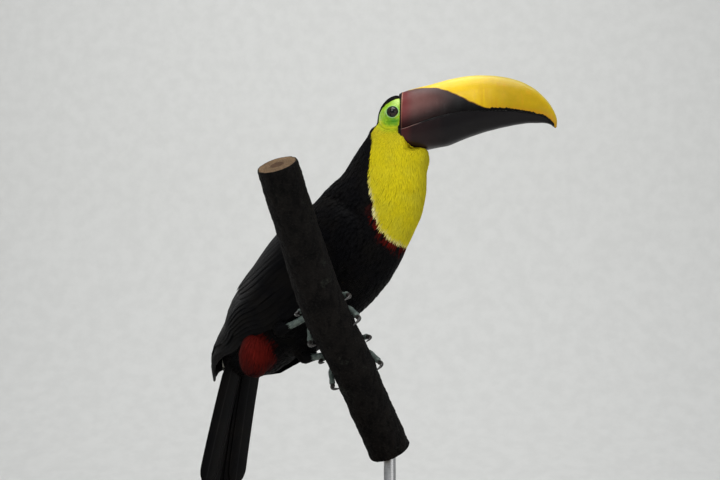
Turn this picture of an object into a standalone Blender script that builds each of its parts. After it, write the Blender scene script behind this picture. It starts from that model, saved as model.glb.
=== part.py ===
"""A life-size yellow-throated toucan that grips a steep cut length of branch on a display stand.

Blender 4.5 script, in metres, +Z up. The origin is the middle of the stand base's underside, the bill
points along +X and the bird's right side faces -Y. The body is one loft along a spine, parted by thin
cuts. Wings, tail, legs and bill are solids of their own, each a small gap away from its neighbours.
"""

import math

import bmesh
import bpy
import numpy as np
from mathutils import Matrix, Vector

MM = 0.001  # every size below is in millimetres
GAP = 0.4  # clearance between neighbouring solids
BODY_GAP = 0.9  # clearance of what lies on the rounded body

# Spine of the body from the tail up: x, y, z, half width, half depth, turn of the front from +X to -Y.
SPINE = [
    (-89, 98, 161, 15, 15, 52),
    (-81, 92, 189, 22, 25, 62),
    (-62, 79, 207, 33, 39, 70),
    (-42, 64, 229, 41, 48, 66),
    (-20, 48, 247, 44, 53, 50),
    (3, 33, 270, 44, 57, 37),
    (26, 19, 293, 44, 57, 29),
    (44, 9, 319, 42, 53, 22),
    (62, 1, 345, 38, 47, 16),
    (71.5, -2, 374.5, 32, 39.5, 12),
    (76.5, -4, 398, 27, 31.5, 8),
    (77, -5, 415, 20, 22, 8),
]
RUMP_END, RUMP_FULL, NECK_END = 0.45, 1.15, 10.9  # stations of the spine where the flesh starts and stops
CUTS = {"rump": 2.3, "belly": 4.5, "breast": 7.6, "neck": 9.75}  # upper end of each part
RING_SIDES, BODY_RINGS = 24, 21

# Head and bill share a frame: its origin is the middle of the bill's base, x runs out along the bill.
HEAD_AT = (84, -7, 421)
HEAD_TURN = 6  # towards -Y
HEAD_ROLL = 8  # the crown leans towards +Y
SKULL_AT, SKULL_RADII = (-3, 0, 0), (22, 23, 27.5)
EYE_AT, EYE_RADIUS = (-7.8, 18.5, 2.8), 6.6
# Rows of the bill: ridge x and z, lower edge x and z, half width.
BILL = [
    (-4, 28, -4, -27, 20.5),
    (8, 32.5, 8, -26.5, 20.5),
    (28, 37.5, 27, -27.5, 19.6),
    (48, 43, 45, -25.5, 18.3),
    (67, 46.2, 63, -18.5, 16.6),
    (84, 46.5, 80, -12.7, 15),
    (101, 44.5, 96, -8.6, 13.4),
    (117, 39.8, 110, -5.8, 11.8),
    (131, 32, 123, -4, 9.8),
    (142.5, 21, 134, -3.9, 7.6),
    (150, 9.5, 141.5, -4.3, 5.2),
    (153.6, -0.5, 147.2, -6, 3.4),
    (153.4, -9, 151.4, -9.8, 0.9),
]
BILL_RINGS, BILL_SIDES = 22, 20
BILL_EGG = 0.10  # the ridge is this much narrower than the lower edge
GAPE_LINE = [(-8, -16), (3, -12.4), (10, -10), (17.5, -7.5), (26, -5), (36, -2.3), (48, 0.9), (60, 3.2), (71, 4.2),
             (82, 4.6), (96, 5), (111, 5), (128, 3.4), (141.5, 0.5), (147.4, -3.3), (150.2, -7), (151.6, -14)]
GAPE_POINTS = 25
BILL_SEAT = [(0, 60), (0, -12), (8, -24), (27, -28.2), (170, -28.2), (170, 60)]
FAR = 45  # half width of the cutters that part head and bill

# Folded wing: station, lower and upper angle from the belly line, lift off the body, thickness.
WING = [
    (7.35, 84, 112, 0, 2.5),
    (7.0, 62, 138, 0, 6.0),
    (6.2, 58, 153, 0, 8.5),
    (5.0, 54, 168, 0.5, 9.5),
    (4.0, 51, 176, 1.0, 9.0),
    (3.0, 52, 177.5, 2.0, 7.5),
    (2.0, 62, 177.5, 3.5, 6.0),
    (1.3, 77, 175, 5.0, 4.4),
    (0.7, 92, 169, 6.5, 3.0),
    (0.25, 104, 158, 6.5, 2.2),
    (0.0, 114, 144, 6.0, 1.6),
]
WING_ROWS, WING_COLUMNS = 22, 7
WING_GAP, WING_EDGE = 1.0, 1.0  # off the body, and least thickness

# Tail: ten feathers, the middle pair first.
TAIL_ROOT = (-82, 91, 190)
TAIL_AIM = (-0.185, 0.14, -0.973)
TAIL_TURN = 43
TAIL_LENGTHS = (147, 145, 141, 135, 127)
TAIL_SPREAD = (0.4, 1.1, 1.8, 2.6, 3.4)  # outwards from the middle
ROOT_SPACING = 3.1  # between the roots of neighbouring feathers
TAIL_STEP = 1.25  # each pair lies this much lower than the pair inside it
VANE_WIDTH, VANE_THICK = 24, 1.6
# Tufts at the tail's root: station, angle from the belly line, radii.
UNDERTAIL = dict(station=2.25, angle=30, radii=(20, 25, 15))
UPPERTAIL = dict(station=0.95, angle=180, radii=(14, 24, 7))

# Branch, from the upper cut to the lower one: x, y, z, radius.
BRANCH = [
    (-36, -113, 358.5, 20.5),
    (-17, -81, 300.5, 21),
    (7, -42, 230.5, 22.5),
    (30, -19, 186.5, 22),
    (53, 8, 136.5, 21),
    (72, 29, 95.5, 21.5),
]
BRANCH_SIDES, BRANCH_RINGS = 16, 13

# Legs: heel, upper end of the thigh, and the foot's pad by station of the branch and angle round it.
LEGS = {
    "right": dict(heel=(-38, 6, 213), hip=(-24, 26, 228), grip=2.13, angle=98),
    "left": dict(heel=(-13, 39, 189), hip=(-15, 55, 219), grip=3.06, angle=104),
}
THIGH = [(-0.6, 6), (-0.45, 12), (-0.1, 16.5), (0.25, 17), (0.6, 15), (0.88, 11.5), (1.1, 7.5), (1.18, 4)]
TARSUS_RADII = (4.2, 3.6, 3.9)
TARSUS_BOW = 1.5
PAD_RADII, PAD_LIFT = (5.6, 5.2, 6.4), 6.4
# Toes, two before and two behind: start along the branch, angle reached round it, slide along it,
# radius, length of the claw.
TOES = {
    "inner_front": (-3.4, -64, -7, 3.1, 15),
    "outer_front": (3.4, -73, 12, 3.3, 16),
    "inner_hind": (-3.4, 50, -6, 2.9, 12),
    "outer_hind": (3.4, 65, 14, 3.1, 14),
}
TOE_START = 19  # angle between the pad's middle and a toe's root
TOE_POINTS, CLAW_POINTS = 7, 5
STATION_LENGTH = 58  # of branch to one of its stations, near the feet

BASE_SIZE, BASE_CORNER, BASE_BEVEL = (250, 196, 18), 26, 2.5
ROD_AT = (71.5, 28.5)
ROD_RADIUS, ROD_TOP, ROD_SEAT = 6, 112, 8
COLLAR_RADIUS, COLLAR_HEIGHT, EDGE = 15, 7, 1.2


# ---------------------------------------------------------------- scene and objects


def empty_scene():
    for obj in list(bpy.data.objects):
        bpy.data.objects.remove(obj)
    made = []
    for name in ("toucan_on_branch", "cutters"):
        made.append(bpy.data.collections.new(name))
        bpy.context.scene.collection.children.link(made[-1])
    return made


def finish(name, rgb, roughness, metallic=0.0):
    material = bpy.data.materials.new(name)
    material.use_nodes = True
    shader = material.node_tree.nodes["Principled BSDF"]
    shader.inputs["Base Color"].default_value = (*rgb, 1)
    shader.inputs["Roughness"].default_value = roughness
    shader.inputs["Metallic"].default_value = metallic
    return material


def add_object(name, data, material=None, place=None):
    """Puts data in the scene: a part where it has a material, otherwise a cutter."""
    obj = bpy.data.objects.new(name, data)
    (PARTS if material else CUTTERS).objects.link(obj)
    if material:
        data.materials.clear()
        data.materials.append(material)
    else:
        obj.hide_render = True
        obj.display_type = "WIRE"
    if place:
        obj.matrix_world = place
    return obj


def mesh_object(name, bm, material=None, place=None):
    mesh = bpy.data.meshes.new(name)
    bm.to_mesh(mesh)
    bm.free()
    mesh.shade_smooth()
    mesh.set_sharp_from_angle(angle=math.radians(40))
    return add_object(name, mesh, material, place)


def solid_of(curve_object, material=None):
    """A mesh object in place of a curve object, its caps welded to its sides."""
    graph = bpy.context.evaluated_depsgraph_get()
    bm = bmesh.new()
    bm.from_mesh(curve_object.evaluated_get(graph).to_mesh())
    bmesh.ops.remove_doubles(bm, verts=bm.verts, dist=1e-6)
    bmesh.ops.recalc_face_normals(bm, faces=bm.faces)
    name, place = curve_object.name, curve_object.matrix_world.copy()
    bpy.data.objects.remove(curve_object)
    return mesh_object(name, bm, material, place)


def boolean(obj, other, operation="DIFFERENCE"):
    """Applies a Boolean at once, so that the next step works on its result."""
    modifier = obj.modifiers.new(operation.lower(), "BOOLEAN")
    modifier.operation = operation
    modifier.object = other
    graph = bpy.context.evaluated_depsgraph_get()
    mesh = bpy.data.meshes.new_from_object(obj.evaluated_get(graph))
    obj.modifiers.clear()
    obj.data = mesh
    return obj


def kept_below(obj, station, out):
    """Cuts the body across its spine and keeps the part below the station, or above it where out is negative."""
    across = heading(SPINE, station)
    middle = Vector(along(SPINE, station)[:3]) - across * out
    normal = across * math.copysign(1, out)
    bm = bmesh.new()
    bm.from_mesh(obj.data)
    cut = bmesh.ops.bisect_plane(bm, geom=[*bm.verts, *bm.edges, *bm.faces], dist=1e-6, plane_co=middle * MM,
                                 plane_no=normal, clear_outer=True)["geom_cut"]
    rim = [g for g in cut if isinstance(g, bmesh.types.BMEdge)]
    caps = bmesh.ops.edgeloop_fill(bm, edges=rim)["faces"]
    bmesh.ops.recalc_face_normals(bm, faces=bm.faces)
    bmesh.ops.triangulate(bm, faces=caps)
    bm.to_mesh(obj.data)
    bm.free()


def swollen(obj, out):
    """A cutter: the object moved out along its normals, so that what it cuts keeps clear of it."""
    bm = bmesh.new()
    bm.from_mesh(obj.data)
    bm.normal_update()
    moves = [(vert, vert.normal * out * MM) for vert in bm.verts]
    for vert, move in moves:
        vert.co += move
    return mesh_object(f"{obj.name}_clearance", bm)


# ---------------------------------------------------------------- curves and forms


def along(rows, u):
    """A smooth curve through the rows: every column at u, counted in rows."""
    rows = np.array(rows, float)
    u = min(max(u, 0.0), len(rows) - 1.0)
    i = min(int(u), len(rows) - 2)
    t = u - i
    p1, p2 = rows[i], rows[i + 1]
    p0 = rows[i - 1] if i else 2 * p1 - p2
    p3 = rows[i + 2] if i + 2 < len(rows) else 2 * p2 - p1
    bend = (2 * p0 - 5 * p1 + 4 * p2 - p3) * t**2 + (3 * p1 - p0 - 3 * p2 + p3) * t**3
    return (2 * p1 + (p2 - p0) * t + bend) / 2


def heading(rows, u):
    step = 0.02
    return Vector(along(rows, u + step)[:3] - along(rows, u - step)[:3]).normalized()


def evenly(rows, count):
    """Points at even steps along the curve through the rows."""
    return [along(rows, u) for u in np.linspace(0, len(rows) - 1, count)]


def facing(forward, turn):
    """Right side and back of a bird that heads forward, its front turned from +X towards -Y."""
    turn = math.radians(turn)
    right = Vector((-math.sin(turn), -math.cos(turn), 0))
    right = (right - right.dot(forward) * forward).normalized()
    return right, right.cross(forward)


def frame(x, y, z, middle):
    """The matrix that carries a frame's axes to these directions and its origin to the middle."""
    return Matrix.Translation(Vector(middle) * MM) @ Matrix((x, y, z)).transposed().to_4x4()


def loft(name, rings, material=None):
    """A closed skin through rings of equally many points, its two ends filled."""
    bm = bmesh.new()
    made = []
    for ring in rings:
        made.append(bmesh.ops.create_circle(bm, segments=len(ring), radius=1)["verts"])
        for vert, point in zip(made[-1], ring):
            vert.co = Vector(point) * MM
    for first, second in zip(made, made[1:]):
        for i, vert in enumerate(first):
            j = (i + 1) % len(first)
            bm.faces.new((vert, first[j], second[j], second[i]))
    ends = [bm.faces.new(end) for end in (made[0], made[-1])]
    bmesh.ops.recalc_face_normals(bm, faces=bm.faces)
    bmesh.ops.triangulate(bm, faces=ends)
    return mesh_object(name, bm, material)


def slab(name, outline, place, thickness, material=None):
    """A flat outline in the frame's x-y plane, thick to both sides of it."""
    curve = bpy.data.curves.new(name, "CURVE")
    curve.dimensions, curve.fill_mode, curve.extrude = "2D", "BOTH", thickness / 2 * MM
    spline = curve.splines.new("POLY")
    spline.points.add(len(outline) - 1)
    spline.use_cyclic_u = True
    for point, (x, y) in zip(spline.points, outline):
        point.co = (x * MM, y * MM, 0, 1)
    return solid_of(add_object(name, curve, None, place), material)


def tube(name, route, radii, material=None, resolution=2):
    """A round bar along a route, its radius given point by point, with closed ends."""
    curve = bpy.data.curves.new(name, "CURVE")
    curve.dimensions, curve.bevel_depth, curve.bevel_resolution = "3D", MM, resolution
    curve.use_fill_caps = True
    spline = curve.splines.new("POLY")
    spline.points.add(len(route) - 1)
    for point, middle, radius in zip(spline.points, route, radii):
        point.co = (*(Vector(middle) * MM), 1)
        point.radius = radius
    return add_object(name, curve, material)


def ball(name, place, radii, segments=20, rings=12, material=None):
    bm = bmesh.new()
    bmesh.ops.create_uvsphere(bm, u_segments=segments, v_segments=rings, radius=MM)
    bmesh.ops.scale(bm, vec=radii, verts=bm.verts)
    return mesh_object(name, bm, material, place)


def turned(name, profile, material=None, steps=20):
    """A body of revolution about its own z axis, from a profile that runs down its outer side."""
    bm = bmesh.new()
    verts = [bm.verts.new((r * MM, 0, z * MM)) for r, z in profile]
    for first, second in zip(verts, verts[1:]):
        bm.edges.new((first, second))
    obj = mesh_object(name, bm, material)
    screw = obj.modifiers.new("screw", "SCREW")
    screw.steps = screw.render_steps = steps
    screw.use_merge_vertices, screw.merge_threshold = True, 0.0001
    return obj


# ---------------------------------------------------------------- body


def body_point(u, angle, out=0.0):
    """A point of the body at a station, an angle from the belly line to the right, and a distance out."""
    x, y, z, half_width, half_depth, turn = along(SPINE, u)
    right, back = facing(heading(SPINE, u), turn)
    s, c = math.sin(math.radians(angle)), math.cos(math.radians(angle))
    outward = (right * half_depth * s - back * half_width * c).normalized()
    return Vector((x, y, z)) + right * half_width * s - back * half_depth * c + outward * out


def body(name, out=0.0):
    """The loft of the flesh, its lower end rounded off."""
    stations = [RUMP_END, 0.5, 0.62, 0.8, 1.0, *np.linspace(1.4, NECK_END, BODY_RINGS)]
    rings = []
    for u in stations:
        middle = Vector(along(SPINE, u)[:3])
        fall = max(0.0, (RUMP_FULL - u) / (RUMP_FULL - RUMP_END + 0.02))
        size = math.sqrt(1 - fall**2)
        angles = (360 * i / RING_SIDES for i in range(RING_SIDES))
        rings.append([middle.lerp(body_point(u, a, out), size) for a in angles])
    return loft(name, rings)


def head_frame():
    turn = Matrix.Rotation(math.radians(-HEAD_TURN), 4, "Z")
    roll = Matrix.Rotation(math.radians(-HEAD_ROLL), 4, "X")
    return Matrix.Translation(Vector(HEAD_AT) * MM) @ turn @ roll


def head_slab(name, outline):
    """A cutter for head and bill: an outline in the plane that halves the head."""
    return slab(name, outline, head_frame() @ Matrix.Rotation(math.radians(90), 4, "X"), 2 * FAR)


def flesh(materials):
    """Body and head as one form, then parted by planes across the spine."""
    whole = body("whole_body")
    skull_place = head_frame() @ Matrix.Translation(Vector(SKULL_AT) * MM)
    boolean(whole, ball("skull", skull_place, SKULL_RADII, 22, 14), "UNION")
    boolean(whole, head_slab("bill_seat", BILL_SEAT))
    parts = {}
    below = None
    for name, above in [*CUTS.items(), ("head", None)]:
        part = add_object(name, whole.data.copy(), materials[name])
        if above is not None:
            kept_below(part, above, GAP / 2)
        if below is not None:
            kept_below(part, below, -GAP / 2)
        parts[name] = part
        below = above
    return parts


def eyes(head, material):
    x, y, z = EYE_AT
    for side, sign in (("right", -1), ("left", 1)):
        place = head_frame() @ Matrix.Translation(Vector((x, sign * y, z)) * MM)
        boolean(head, ball(f"socket_{side}", place, [EYE_RADIUS + GAP] * 3, 16, 10))
        ball(f"eye_{side}", place, [EYE_RADIUS] * 3, 14, 9, material)


# ---------------------------------------------------------------- bill


def bill_ring(row):
    """One section of the bill: an oval between its ridge and its lower edge, flattened at the sides."""
    ridge_x, ridge_z, low_x, low_z, half_width = row
    ridge, low = Vector((ridge_x, 0, ridge_z)), Vector((low_x, 0, low_z))
    ring = []
    for i in range(BILL_SIDES):
        s, c = (f(2 * math.pi * i / BILL_SIDES) for f in (math.sin, math.cos))
        side = half_width * (1 - BILL_EGG * s) * math.copysign(abs(c) ** 0.86, c)
        point = (ridge + low) / 2 + (ridge - low) / 2 * s + Vector((0, side, 0))
        ring.append(head_frame() @ (point * MM) / MM)
    return ring


def bill(materials):
    whole = loft("whole_bill", [bill_ring(row) for row in evenly(BILL, BILL_RINGS)])
    seat = [(x + GAP if x < FAR else x, z + GAP if z < 0 else z) for x, z in BILL_SEAT]
    boolean(whole, head_slab("bill_front", seat), "INTERSECT")
    line = evenly(GAPE_LINE, GAPE_POINTS)
    upper = [(x, z + GAP / 2) for x, z in line] + [(175, -15), (175, 80), (-20, 80), (-20, -15)]
    lower = [(x, z - GAP / 2) for x, z in line] + [(155, -60), (-20, -60), (-20, -15)]
    for name, outline in (("bill_upper", upper), ("bill_lower", lower)):
        part = add_object(name, whole.data.copy(), materials[name])
        boolean(part, head_slab(f"{name}_region", outline), "INTERSECT")


# ---------------------------------------------------------------- wings and tail


def wing(side, material):
    """A folded wing: a sheet that follows the body's side, thick over the arm and thin at the tips."""
    sign = 1 if side == "right" else -1
    bm = bmesh.new()
    outer = bmesh.ops.create_grid(bm, x_segments=WING_ROWS, y_segments=WING_COLUMNS, size=1)["verts"]
    grown = bmesh.ops.extrude_face_region(bm, geom=list(bm.faces))["geom"]
    inner = [g for g in grown if isinstance(g, bmesh.types.BMVert)]
    for verts, is_outer in ((outer, True), (inner, False)):
        for vert in verts:
            length, across = (vert.co.x + 1) / 2, (vert.co.y + 1) / 2
            u, low, high, lift, thick = along(WING, length * (len(WING) - 1))
            rounding = math.sin(math.pi * min(max(across, 0.06), 0.94)) ** 0.5
            out = WING_GAP + lift + (max(WING_EDGE, thick * rounding) if is_outer else 0)
            vert.co = body_point(u, sign * (low + (high - low) * across), out) * MM
    bmesh.ops.recalc_face_normals(bm, faces=bm.faces)
    return mesh_object(f"wing_{side}", bm, material)


def vane_outline(length):
    """A tail feather's outline: narrow at the root, round at the tip."""
    half, tip = VANE_WIDTH / 2, VANE_WIDTH * 0.62
    edge = [(0, 0.68 * half), (0.25 * length, 0.92 * half), (length - tip, half)]
    arc = [(length - tip * (1 - math.sin(a)), half * math.cos(a)) for a in np.radians([28, 55, 77])]
    return edge + arc + [(length, 0)] + [(x, -y) for x, y in reversed(edge + arc)]


def tail_axes():
    down = Vector(TAIL_AIM).normalized()
    return (down, *facing(-down, TAIL_TURN))


def tail(material):
    """Ten overlapping feathers joined into one solid."""
    down, right, back = tail_axes()
    whole = None
    for pair, (length, spread) in enumerate(zip(TAIL_LENGTHS, TAIL_SPREAD)):
        for sign in (-1, 1):
            turn = math.radians(spread * sign)
            run = down * math.cos(turn) + right * math.sin(turn)
            across = right * math.cos(turn) - down * math.sin(turn)
            drop = TAIL_STEP * (pair + (0.4 if sign > 0 else 0))
            root = Vector(TAIL_ROOT) + right * sign * (1.2 + ROOT_SPACING * pair) - back * drop
            place = frame(run, across, run.cross(across), root)
            outline = vane_outline(length)
            if whole is None:
                whole = slab("tail", outline, place, VANE_THICK, material)
            else:
                boolean(whole, slab(f"vane_{pair}_{sign}", outline, place, VANE_THICK), "UNION")
    return whole


def coverts(name, station, angle, radii, material):
    """The tuft of feathers under or over the tail's root."""
    down, right, back = tail_axes()
    return ball(name, frame(right, -down, back, body_point(station, angle)), radii, 18, 12, material)


# ---------------------------------------------------------------- legs


def branch_point(u, angle, out):
    """A point round the branch, at a distance out from its bark: 0 degrees faces +X, 90 faces +Y."""
    x, y, z, radius = along(BRANCH, u)
    axis = heading(BRANCH, u)
    east = Vector((1, 0, 0))
    east = (east - east.dot(axis) * axis).normalized()
    north = east.cross(axis)
    s, c = math.sin(math.radians(angle)), math.cos(math.radians(angle))
    return Vector((x, y, z)) + (east * c + north * s) * (radius + out)


def thigh(side, hip, heel, material):
    """The feathered leg above the heel: a tuft that swells out of the flank and closes round the heel."""
    run = (heel - hip).normalized()
    across = run.cross(Vector((0, 0, 1))).normalized()
    outward = across.cross(run)
    turn = np.linspace(0, 2 * math.pi, 18, endpoint=False)
    rings = []
    for t, radius in THIGH:
        rings.append([hip.lerp(heel, t) + (across * math.cos(a) + outward * math.sin(a)) * radius for a in turn])
    return loft(f"thigh_{side}", rings, material)


def toe(name, grip, angle, shape, skin, horn):
    """A toe wrapped round the branch, and the claw that goes on from its end."""
    shift, sweep, slide, radius, claw_length = shape
    sign = math.copysign(1, sweep)
    route, radii = [], []
    for t in np.linspace(0, 1, TOE_POINTS):
        station = grip + (shift + slide * t) / STATION_LENGTH
        route.append(branch_point(station, angle + sign * TOE_START + sweep * t, radius * 1.1 + 0.5))
        knuckle = 1 + 0.1 * math.cos(4 * math.pi * t)
        radii.append(radius * knuckle * (1 - 0.16 * t))
    tube(f"toe_{name}", route, radii, skin)

    begin = angle + sign * (TOE_START + 3.2) + sweep
    turn = sign * math.degrees(claw_length / 26)
    route, radii = [], []
    for t in np.linspace(0, 1, CLAW_POINTS):
        station = grip + (shift + slide * (1 + 0.1 * t)) / STATION_LENGTH
        arch = radius * 0.95 + 0.6 + 2.6 * math.sin(math.pi * min(t * 1.15, 1)) - 1.6 * t
        route.append(branch_point(station, begin + turn * t, arch))
        radii.append(radius * 0.72 * (1 - t) ** 0.8 + 0.35)
    tube(f"claw_{name}", route, radii, horn, resolution=1)


def leg(side, heel, grip, angle, skin, horn):
    """Tarsus, foot and toes of one leg. Returns the cutter that makes room for the heel."""
    pad_at = branch_point(grip, angle, PAD_LIFT)
    ball(f"foot_{side}", Matrix.Translation(pad_at * MM), PAD_RADII, 12, 8, skin)
    ankle = pad_at + (heel - pad_at).normalized() * (PAD_RADII[2] + 2 * GAP)
    middle = heel.lerp(ankle, 0.5) - Vector((0, 0, TARSUS_BOW))
    tube(f"tarsus_{side}", [heel, middle, ankle], TARSUS_RADII, skin)
    for name, shape in TOES.items():
        toe(f"{name}_{side}", grip, angle, shape, skin, horn)
    start = heel + (heel - middle).normalized() * GAP
    return solid_of(tube(f"heel_room_{side}", [start, middle, ankle], [r + GAP for r in TARSUS_RADII]))


# ---------------------------------------------------------------- perch and stand


def branch(material):
    turns = [360 * i / BRANCH_SIDES for i in range(BRANCH_SIDES)]
    stations = np.linspace(0, len(BRANCH) - 1, BRANCH_RINGS)
    return loft("stand_perch", [[branch_point(u, a, 0) for a in turns] for u in stations], material)


def base(material):
    length, depth, height = (s * MM for s in BASE_SIZE)
    bm = bmesh.new()
    bmesh.ops.create_cube(bm, size=1)
    bmesh.ops.scale(bm, vec=(length, depth, height), verts=bm.verts)
    upright = [e for e in bm.edges if abs(e.verts[0].co.z - e.verts[1].co.z) > height / 2]
    bmesh.ops.bevel(bm, geom=upright, offset=BASE_CORNER * MM, segments=5, profile=0.5, affect="EDGES")
    top = [e for e in bm.edges if all(v.co.z > height * 0.49 for v in e.verts)]
    bmesh.ops.bevel(bm, geom=top, offset=BASE_BEVEL * MM, segments=2, profile=0.5, affect="EDGES")
    return mesh_object("stand_base", bm, material, Matrix.Translation((0, 0, height / 2)))


def rod(material):
    """The upright with the collar that rests on the base, and the cutter that makes room for it."""
    foot = BASE_SIZE[2] + GAP
    collar_top = foot + COLLAR_HEIGHT
    profile = [
        (0, ROD_TOP), (ROD_RADIUS - EDGE, ROD_TOP), (ROD_RADIUS, ROD_TOP - EDGE), (ROD_RADIUS, collar_top),
        (COLLAR_RADIUS - EDGE, collar_top), (COLLAR_RADIUS, collar_top - EDGE), (COLLAR_RADIUS, foot),
        (ROD_RADIUS, foot), (ROD_RADIUS, foot - ROD_SEAT), (0, foot - ROD_SEAT),
    ]
    wide, low = ROD_RADIUS + GAP, foot - ROD_SEAT - GAP
    upright = turned("stand_rod", profile, material)
    room = turned("rod_room", [(0, ROD_TOP + GAP), (wide, ROD_TOP + GAP), (wide, low), (0, low)])
    for obj in (upright, room):
        obj.location = (ROD_AT[0] * MM, ROD_AT[1] * MM, 0)
    return room


# ---------------------------------------------------------------- the whole model

PARTS, CUTTERS = empty_scene()


def main():
    black = finish("black_plumage", (0.012, 0.012, 0.014), 0.55)
    yellow = finish("yellow_plumage", (0.75, 0.62, 0.03), 0.7)
    red = finish("red_plumage", (0.45, 0.02, 0.01), 0.7)
    white = finish("white_plumage", (0.8, 0.78, 0.7), 0.7)
    skin = finish("leg_skin", (0.16, 0.24, 0.24), 0.5)
    horn = finish("claw_horn", (0.05, 0.05, 0.05), 0.35)

    parts = flesh({"rump": black, "belly": black, "breast": black, "neck": yellow, "head": yellow})
    eyes(parts["head"], finish("eye_gloss", (0.02, 0.015, 0.012), 0.08))
    bill({"bill_upper": finish("bill_yellow", (0.85, 0.6, 0.03), 0.3),
          "bill_lower": finish("bill_dark", (0.035, 0.02, 0.02), 0.3)})

    body_room = body("body_room", BODY_GAP)
    wing_rooms = [swollen(wing(side, black), 2 * GAP) for side in ("right", "left")]
    tail_feathers = tail(black)
    boolean(tail_feathers, body_room)
    tail_room = swollen(tail_feathers, GAP)
    for name, spec, colour in (("undertail_coverts", UNDERTAIL, red), ("uppertail_coverts", UPPERTAIL, white)):
        tuft = coverts(name, **spec, material=colour)
        for room in (body_room, tail_room, *wing_rooms):
            boolean(tuft, room)

    perch = branch(finish("bark", (0.05, 0.04, 0.035), 0.9))
    for side, spec in LEGS.items():
        hip, heel = Vector(spec["hip"]), Vector(spec["heel"])
        tuft = thigh(side, hip, heel, black)
        for room in (body_room, *wing_rooms):
            boolean(tuft, room)
        heel_room = leg(side, heel, spec["grip"], spec["angle"], skin, horn)
        for around in (tuft, parts["belly"]):
            boolean(around, heel_room)

    stand_base = base(finish("base_wood", (0.16, 0.08, 0.04), 0.4))
    rod_room = rod(finish("rod_steel", (0.6, 0.6, 0.6), 0.3, 1.0))
    for around in (stand_base, perch):
        boolean(around, rod_room)


main()
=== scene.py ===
"""The looks of a life-size yellow-throated toucan on a cut length of branch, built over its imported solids.

Blender 4.5, in the frame of the solids: metres, +Z up, the bill along +X, the bird's right side to -Y.
Sizes in this file are in millimetres, and become metres where a mesh is made.
"""

import math

import bmesh
import bpy
import numpy as np
from mathutils import Matrix, Vector, noise
from mathutils.bvhtree import BVHTree
from mathutils.kdtree import KDTree


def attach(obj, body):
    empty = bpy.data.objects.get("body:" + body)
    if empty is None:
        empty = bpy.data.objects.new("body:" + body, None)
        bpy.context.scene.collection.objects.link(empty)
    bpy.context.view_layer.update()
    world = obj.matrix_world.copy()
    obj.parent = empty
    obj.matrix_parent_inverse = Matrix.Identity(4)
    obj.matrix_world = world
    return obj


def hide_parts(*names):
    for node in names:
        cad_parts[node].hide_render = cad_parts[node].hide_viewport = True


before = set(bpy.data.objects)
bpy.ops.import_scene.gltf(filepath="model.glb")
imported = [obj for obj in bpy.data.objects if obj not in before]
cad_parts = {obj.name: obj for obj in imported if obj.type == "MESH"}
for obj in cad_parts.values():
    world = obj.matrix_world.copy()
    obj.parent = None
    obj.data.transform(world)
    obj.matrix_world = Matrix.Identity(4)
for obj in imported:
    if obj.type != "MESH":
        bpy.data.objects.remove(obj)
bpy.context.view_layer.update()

MM = 0.001
RIGHT, LEFT = 1, -1  # signs of the bird's sides: angles round the body grow to the right
SIDE_NAMES = {RIGHT: "right", LEFT: "left"}

# ---------------------------------------------------------------- driving sizes, as in the solids

# Spine of the body from the tail up: x, y, z, half width, half depth, turn of the front from +X to -Y.
SPINE = [
    (-89, 98, 161, 15, 15, 52),
    (-81, 92, 189, 22, 25, 62),
    (-62, 79, 207, 33, 39, 70),
    (-42, 64, 229, 41, 48, 66),
    (-20, 48, 247, 44, 53, 50),
    (3, 33, 270, 44, 57, 37),
    (26, 19, 293, 44, 57, 29),
    (44, 9, 319, 42, 53, 22),
    (62, 1, 345, 38, 47, 16),
    (71.5, -2, 374.5, 32, 39.5, 12),
    (76.5, -4, 398, 27, 31.5, 8),
    (77, -5, 415, 20, 22, 8),
]
HEAD_AT, HEAD_TURN, HEAD_ROLL = (84, -7, 421), 6, 8
SKULL_AT, SKULL_RADII = (-3, 0, 0), (22, 23, 27.5)
EYE_AT, EYE_RADIUS = (-7.8, 18.5, 2.8), 6.6
# Rows of the bill: ridge x and z, lower edge x and z, half width.
BILL = [
    (-4, 28, -4, -27, 20.5),
    (8, 32.5, 8, -26.5, 20.5),
    (28, 37.5, 27, -27.5, 19.6),
    (48, 43, 45, -25.5, 18.3),
    (67, 46.2, 63, -18.5, 16.6),
    (84, 46.5, 80, -12.7, 15),
    (101, 44.5, 96, -8.6, 13.4),
    (117, 39.8, 110, -5.8, 11.8),
    (131, 32, 123, -4, 9.8),
    (142.5, 21, 134, -3.9, 7.6),
    (150, 9.5, 141.5, -4.3, 5.2),
    (153.6, -0.5, 147.2, -6, 3.4),
    (153.4, -9, 151.4, -9.8, 0.9),
]
BILL_EGG, BILL_SQUARE = 0.10, 0.86
# Line of the gape, in the head's frame: x, z.
GAPE_LINE = [
    (-8, -16), (3, -12.4), (10, -10), (17.5, -7.5), (26, -5), (36, -2.3), (48, 0.9), (60, 3.2), (71, 4.2),
    (82, 4.6), (96, 5), (111, 5), (128, 3.4), (141.5, 0.5), (147.4, -3.3), (150.2, -7), (151.6, -14),
]
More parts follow.
